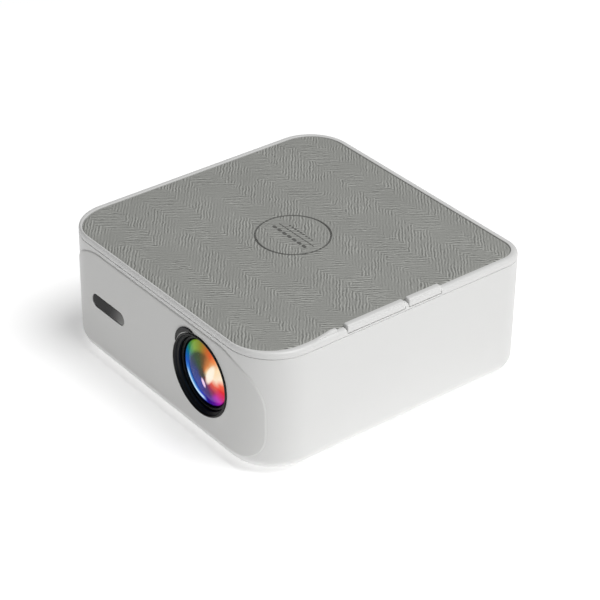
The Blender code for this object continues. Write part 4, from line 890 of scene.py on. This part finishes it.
emblemLook = {
    "width": 0.8 * mm,
    "thickness": 0.12 * mm,
    "bars": [
        # how many, first one's place, step, how far behind the middle, length, height, in mm
        (1, 1.5, 0.0, 1.6, 37.0, 0.7),
        (9, -10.4, 2.9, 5.6, 2.0, 1.5),
        (7, -15.2, 5.2, -3.4, 3.9, 2.4),
    ],
}


def barGrid(centre, length, height, z, thickness):
    # a flat bar with round ends
    grid = pillGrid((centre[0], centre[1]), (length, height), [(0, z), (0, z + thickness)], 8)
    return grid[..., [0, 2, 1]]


def makeEmblem():
    # a plain ring, and inside it a thin line with a row of short bars above and below
    look = emblemLook
    ring = (emblemHigh[0] - emblemLow[0]) / 2 - look["width"] / 2
    half = look["width"] / 2
    top = fabricHigh[2] + 0.06 * mm
    floor = fabricHigh[2] - 0.45 * mm
    profile = [(ring - half, floor), (ring + half, floor), (ring + half, top - 0.15 * mm)]
    profile += [(ring + half * 0.6, top), (ring - half * 0.6, top), (ring - half, top - 0.15 * mm)]
    grids = [(turnedGrid((0, middleY, 0), profile, 160, "z"), True)]
    z = fabricHigh[2] - 0.05 * mm
    for count, first, step, behind, length, height in look["bars"]:
        for number in range(count):
            centre = (first + step * number) * mm, middleY + behind * mm
            bar = barGrid(centre, length * mm, height * mm, z, look["thickness"])
            grids.append((bar, False))
    work = bmesh.new()
    for grid, wraps in grids:
        part = gridMesh("emblemPart", grid, wrapRows=wraps)
        work.from_mesh(part)
        bpy.data.meshes.remove(part)
    mesh = bpy.data.meshes.new("emblem")
    work.to_mesh(mesh)
    work.free()
    return finishPiece(addObject("emblem", mesh), "casing", "black_plastic", ["emblem_ring"], printGrey)


def makeFrontPanel():
    # the panel's outline wrapped round the front, with the openings for the ring and the window
    look = frontLook
    panel = addObject("frontFace", gridMesh("frontFace", panelGrid(0, look["proud"] - look["thickness"])))
    carve(panel, frontOpenings())
    return finishPiece(panel, "casing", "panel_grey_white", ["front_panel"], angle=28)


windowLook = {"edge": 0.6 * mm}


def makeWindow():
    # a smoked pill with a softly rounded front edge
    front = windowLow[1]
    edge = windowLook["edge"]
    turns = np.radians(np.linspace(0, 90, 7))[1:]
    profile = [(0, windowHigh[1]), (0, front + edge)]
    profile += [(edge - edge * math.cos(a), front + edge - edge * math.sin(a)) for a in turns]
    profile += [(windowSize[1] * share, front) for share in (0.2, 0.35, 0.49)]
    window = addObject("smokedPill", gridMesh("smokedPill", pillGrid(windowCentre, windowSize, profile)))
    return finishPiece(window, "casing", "smoked_window", ["ir_window"], angle=40)


ringLook = {
    "radius": 28.2 * mm,
    "proud": 1.6 * mm,
    "length": 12 * mm,
    "nose": 0.6 * mm,
    "bore": 25.3 * mm,
    "mouth": 27.2 * mm,
    "lip": 26.4 * mm,
    "tabMiddle": 126,
    "tabSpan": 50,
    "tabReach": 4.3 * mm,
    "tabSoft": 0.25 * mm,
    "tabSpace": 1.0 * mm,  # the light line left between the ring and its tab
}


def makeFocusRing():
    # a turned funnel: rounded nose, a fine lip inside the mouth, then the bore that surrounds the barrel
    look = ringLook
    front = frontY - look["proud"]
    back = front + look["length"]
    nose = look["nose"]
    radius, mouth, lip, bore = look["radius"], look["mouth"], look["lip"], look["bore"]
    turns = np.radians(np.linspace(0, 90, 7))
    profile = [(bore, back), (radius, back)]
    profile += [(radius - nose + nose * math.cos(a), front + nose - nose * math.sin(a)) for a in turns]
    profile += [(mouth + 0.2 * mm, front), (mouth, front + 0.15 * mm)]
    profile += [(lip + 0.25 * mm, front + 1.3 * mm), (lip + 0.12 * mm, front + 1.2 * mm)]
    profile += [(lip, front + 1.3 * mm)]
    profile += [(lip, front + 1.9 * mm), (bore, front + 2.9 * mm)]
    ring = gridMesh("focusRing", turnedGrid((lensX, 0, lensZ), profile, 144), wrapRows=True)

    share = np.linspace(0, 1, 33)
    start = math.radians(look["tabMiddle"] - look["tabSpan"] / 2)
    angle = start + math.radians(look["tabSpan"]) * share
    bow = np.sin(math.pi * share)
    inner = radius - 0.2 * mm + (look["tabSpace"] + 0.2 * mm) * bow ** 0.3
    reach = radius + look["tabReach"] * bow ** 0.6
    low, high = front + 0.1 * mm, frontY - frontLook["proud"] - 0.3 * mm
    soft = look["tabSoft"]
    turn = np.concatenate([angle, angle[::-1]])
    rows = []
    for shrink, y in ((0.0, high), (0.0, low + soft), (soft, low)):
        around = np.concatenate([np.maximum(reach - shrink, inner + 0.05 * mm), inner[::-1]])
        x, z = lensX + around * np.cos(turn), lensZ + around * np.sin(turn)
        rows.append(np.column_stack([x, np.full(len(turn), y), z]))
    tab = gridMesh("focusTab", np.array(rows))
    work = bmesh.new()
    for part in (ring, tab):
        work.from_mesh(part)
    mesh = bpy.data.meshes.new("focusFunnel")
    work.to_mesh(mesh)
    work.free()
    funnel = addObject("focusFunnel", mesh)
    return finishPiece(funnel, "focus_ring", "black_plastic", ["focus_ring"], angle=38)


barrelLook = {
    "domeHeight": 4.2 * mm,
    "wall": 1.6 * mm,
    "soft": 0.3 * mm,
    "seatWidth": 2 * mm,
    "rearRoom": 8 * mm,
}


def makeLens():
    # the glass: a dome round the axis, its radius times the sine of an angle across and its height
    # times one minus the cosine back; then the tube that holds it against a seat
    look = barrelLook
    radius = glassRadius
    front, back = glassLow[1], glassHigh[1]
    height = look["domeHeight"]
    turns = np.radians(np.linspace(0.4, 90, 40))
    dome = [(radius * math.sin(a), front + height * (1 - math.cos(a))) for a in turns]
    profile = dome + [(radius, back), (0.2 * mm, back)]
    glass = addObject("frontGlass", gridMesh("frontGlass", turnedGrid((lensX, 0, lensZ), profile, 144)))
    finishPiece(glass, "lens_cell", "coated_glass", ["front_lens"], angle=40)

    outer = barrelRadius
    start, end = barrelLow[1], barrelHigh[1]
    inner = outer - look["wall"]
    soft = look["soft"]
    seat, rear = back + soft, end - look["rearRoom"]
    narrow = inner - look["seatWidth"]
    profile = [(outer, start + soft), (outer - soft, start), (inner + soft, start)]
    profile += [(inner, start + soft), (inner, seat), (narrow, seat), (narrow, rear), (inner, rear)]
    profile += [(inner, end), (outer, end)]
    tube = gridMesh("lensTube", turnedGrid((lensX, 0, lensZ), profile, 120), wrapRows=True)
    barrel = addObject("lensTube", tube)
    return finishPiece(barrel, "lens_cell", "black_plastic", ["lens_barrel"], angle=38)


keyLook = {
    "aboveShelf": 0.7 * mm,
    "outerRound": 2.0 * mm,
    "innerRound": 0.7 * mm,
    "endRound": 1.3 * mm,
    "endShare": 0.75,  # how much of the end's round goes into its height
    "sideShare": 0.4,  # and how much of that into its outer side
    "belowFabric": 0.6 * mm,
    "tongue": 1.1 * mm,
    "tongueSpace": 0.5 * mm,
}


def makeKey(node, name):
    # a rounded bar: its section is carried along Y and shrinks at both ends, so that the ends are
    # round; a tongue runs from it under the fabric
    look = keyLook
    keyLow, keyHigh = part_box(node)
    left, right = halfWidth - coverLook["rim"], keyHigh[0]
    low, high = seamZ + coverLook["shelf"] + look["aboveShelf"], keyHigh[2]
    start, end = keyLow[1], keyHigh[1]
    outerRound, innerRound, endRound = look["outerRound"], look["innerRound"], look["endRound"]
    section = [(left, low), (right, low)]
    section += arc((right - outerRound, high - outerRound), outerRound, 0, 90, 9)
    section += arc((left + innerRound, high - innerRound), innerRound, 90, 180, 5)
    section = np.array(section)
    turn = np.radians(np.linspace(0, 90, 8))
    fromEnd = endRound * (1 - np.sin(turn))
    fall = endRound * (1 - np.cos(turn))
    places = np.concatenate([start + fromEnd[::-1], end - fromEnd])
    drop = np.concatenate([fall[::-1], fall]) * look["endShare"]
    outside = section[:, 0] > (left + right) / 2
    rows = []
    for y, shrink in zip(places, drop):
        share = 1 - shrink / (high - low)
        z = low + (section[:, 1] - low) * share
        x = np.where(outside, section[:, 0] - shrink * look["sideShare"], section[:, 0])
        rows.append(np.column_stack([x, np.full(len(x), y), z]))
    bar = addObject(name, gridMesh(name, np.array(rows)))
    space = look["tongueSpace"]
    tongueHigh = fabricLow[2] - look["belowFabric"]
    tongueLow = tongueHigh - look["tongue"]
    nearCorner = keyLow[0], start + space, tongueLow
    farCorner = left + space, end - space, tongueHigh
    carve(bar, [boxCutter("tongue", nearCorner, farCorner)], "UNION")
    return finishPiece(bar, node, "casing_white", [node], angle=32)


# Carried-over nodes that show: a copy is merged, flattened and given soft edges
refined = {
    # node: width of its soft edge
    "side_grille": 0.35 * mm,
    "filter_cover": 0.35 * mm,
    "rear_panel": 0.25 * mm,
    "base_plate": 0.35 * mm,
    "hdmi_port_1": 0.08 * mm,
    "hdmi_port_2": 0.08 * mm,
    "usb_port_1": 0.08 * mm,
    "usb_port_2": 0.08 * mm,
    "av_jack": 0.2 * mm,
    "audio_jack": 0.2 * mm,
    "ac_inlet": 0.25 * mm,
    "rubber_foot_1": 0.5 * mm,
    "rubber_foot_2": 0.5 * mm,
    "rubber_foot_3": 0.5 * mm,
    "rubber_foot_4": 0.5 * mm,
    "foot_wheel": 0.3 * mm,
    "foot_leg": 0.4 * mm,
    "tripod_insert": 0.2 * mm,
    "base_screw_1": 0.15 * mm,
    "base_screw_2": 0.15 * mm,
    "base_screw_3": 0.15 * mm,
    "base_screw_4": 0.15 * mm,
    "dust_filter": 0.3 * mm,
    "exhaust_fan_frame": 0.3 * mm,
    "exhaust_fan_rotor": 0.15 * mm,
    "blower_case": 0.3 * mm,
    "blower_rotor": 0.15 * mm,
    "lens_sleeve": 0.2 * mm,
}


def refine(node, width):
    mesh = frame["nodes"][node].data.copy()
    mesh.name = node + "_refined"
    tidyMesh(mesh, 2e-6, math.radians(0.5))
    piece = addObject(node + "_refined", mesh)
    softenEdges(piece, width, 2, 40)
    return finishPiece(piece, bodyOf[node], slotOf[node], [node], angle=30)


makeBodyShell()
makeTopCover()
makeFabricPanel()
makeEmblem()
makeFrontPanel()
makeWindow()
print("casing made")
makeFocusRing()
makeLens()
makeKey("rocker_key", "rockerBar")
makeKey("power_key", "powerBar")
print("lens and keys made")
for node, width in refined.items():
    refine(node, width)
for node, made in frame["nodes"].items():
    for place in made.material_slots:
        place.material = finishes[slotOf[node]]
print("carried-over nodes finished:", len(frame["nodes"]))


studio = {
    "keyTurn": math.radians(20),  # from +X towards +Y
    "keyHeight": math.radians(65),
    "keyDistance": 4.0,
    "keySize": 2.6,
    "keyPower": 130.0,
    "worldStrength": 0.05,
    "floorSize": 14.0,
    "floorColour": (0.97, 0.97, 0.97, 1),
    "floorGlow": 0.42,
}


def makeStudio():
    look = studio
    turn, rise = look["keyTurn"], look["keyHeight"]
    toward = Vector((math.cos(rise) * math.cos(turn), math.cos(rise) * math.sin(turn), math.sin(rise)))
    light = bpy.data.lights.new("softKey", "AREA")
    light.shape = "DISK"
    light.size = look["keySize"]
    light.energy = look["keyPower"]
    lamp = bpy.data.objects.new("softKey", light)
    lamp.location = toward * look["keyDistance"]
    lamp.rotation_euler = toward.to_track_quat("Z", "Y").to_euler()
    bpy.context.scene.collection.objects.link(lamp)

    world = bpy.data.worlds.new("studio")
    world.use_nodes = True
    sky = world.node_tree.nodes["Background"]
    sky.inputs[0].default_value = (1, 1, 1, 1)
    sky.inputs[1].default_value = look["worldStrength"]
    bpy.context.scene.world = world

    half = look["floorSize"] / 2
    corners = [(-half, -half, 0), (half, -half, 0), (half, half, 0), (-half, half, 0)]
    mesh = bpy.data.meshes.new("floor")
    mesh.from_pydata(corners, [], [(0, 1, 2, 3)])
    floor = addObject("floor", mesh)
    paleFloor = newMaterial(
        "paleFloor", colour=look["floorColour"], roughness=0.9, specular=0.1,
        emission=look["floorColour"], emissionStrength=look["floorGlow"],
    )[0]
    mesh.materials.append(paleFloor)


cameraLook = {
    "turn": math.radians(51.53),
    "height": math.radians(32.57),
    "distance": 1.4495,
    "lens": 130.6,
    "roll": 0.0104,
    "shiftRight": 5.0 * mm,
    "shiftUp": -4.6 * mm,
    "middle": (0, 0.8 * mm, 47.4 * mm),
}


def makeCamera():
    look = cameraLook
    turn, rise = look["turn"], look["height"]
    back = Vector((math.sin(turn) * math.cos(rise), -math.cos(turn) * math.cos(rise), math.sin(rise)))
    right = Vector((math.cos(turn), math.sin(turn), 0))
    up = back.cross(right)
    aim = Vector(look["middle"]) + right * look["shiftRight"] + up * look["shiftUp"]
    data = bpy.data.cameras.new("view")
    data.lens = look["lens"]
    data.sensor_width = 36
    camera = bpy.data.objects.new("view", data)
    spin = Matrix((right, up, back)).transposed().to_4x4() @ Matrix.Rotation(look["roll"], 4, "Z")
    camera.matrix_world = Matrix.Translation(aim + back * look["distance"]) @ spin
    bpy.context.scene.collection.objects.link(camera)
    bpy.context.scene.camera = camera


makeStudio()
makeCamera()
bpy.context.scene.view_settings.view_transform = "Standard"
print("studio and camera set")
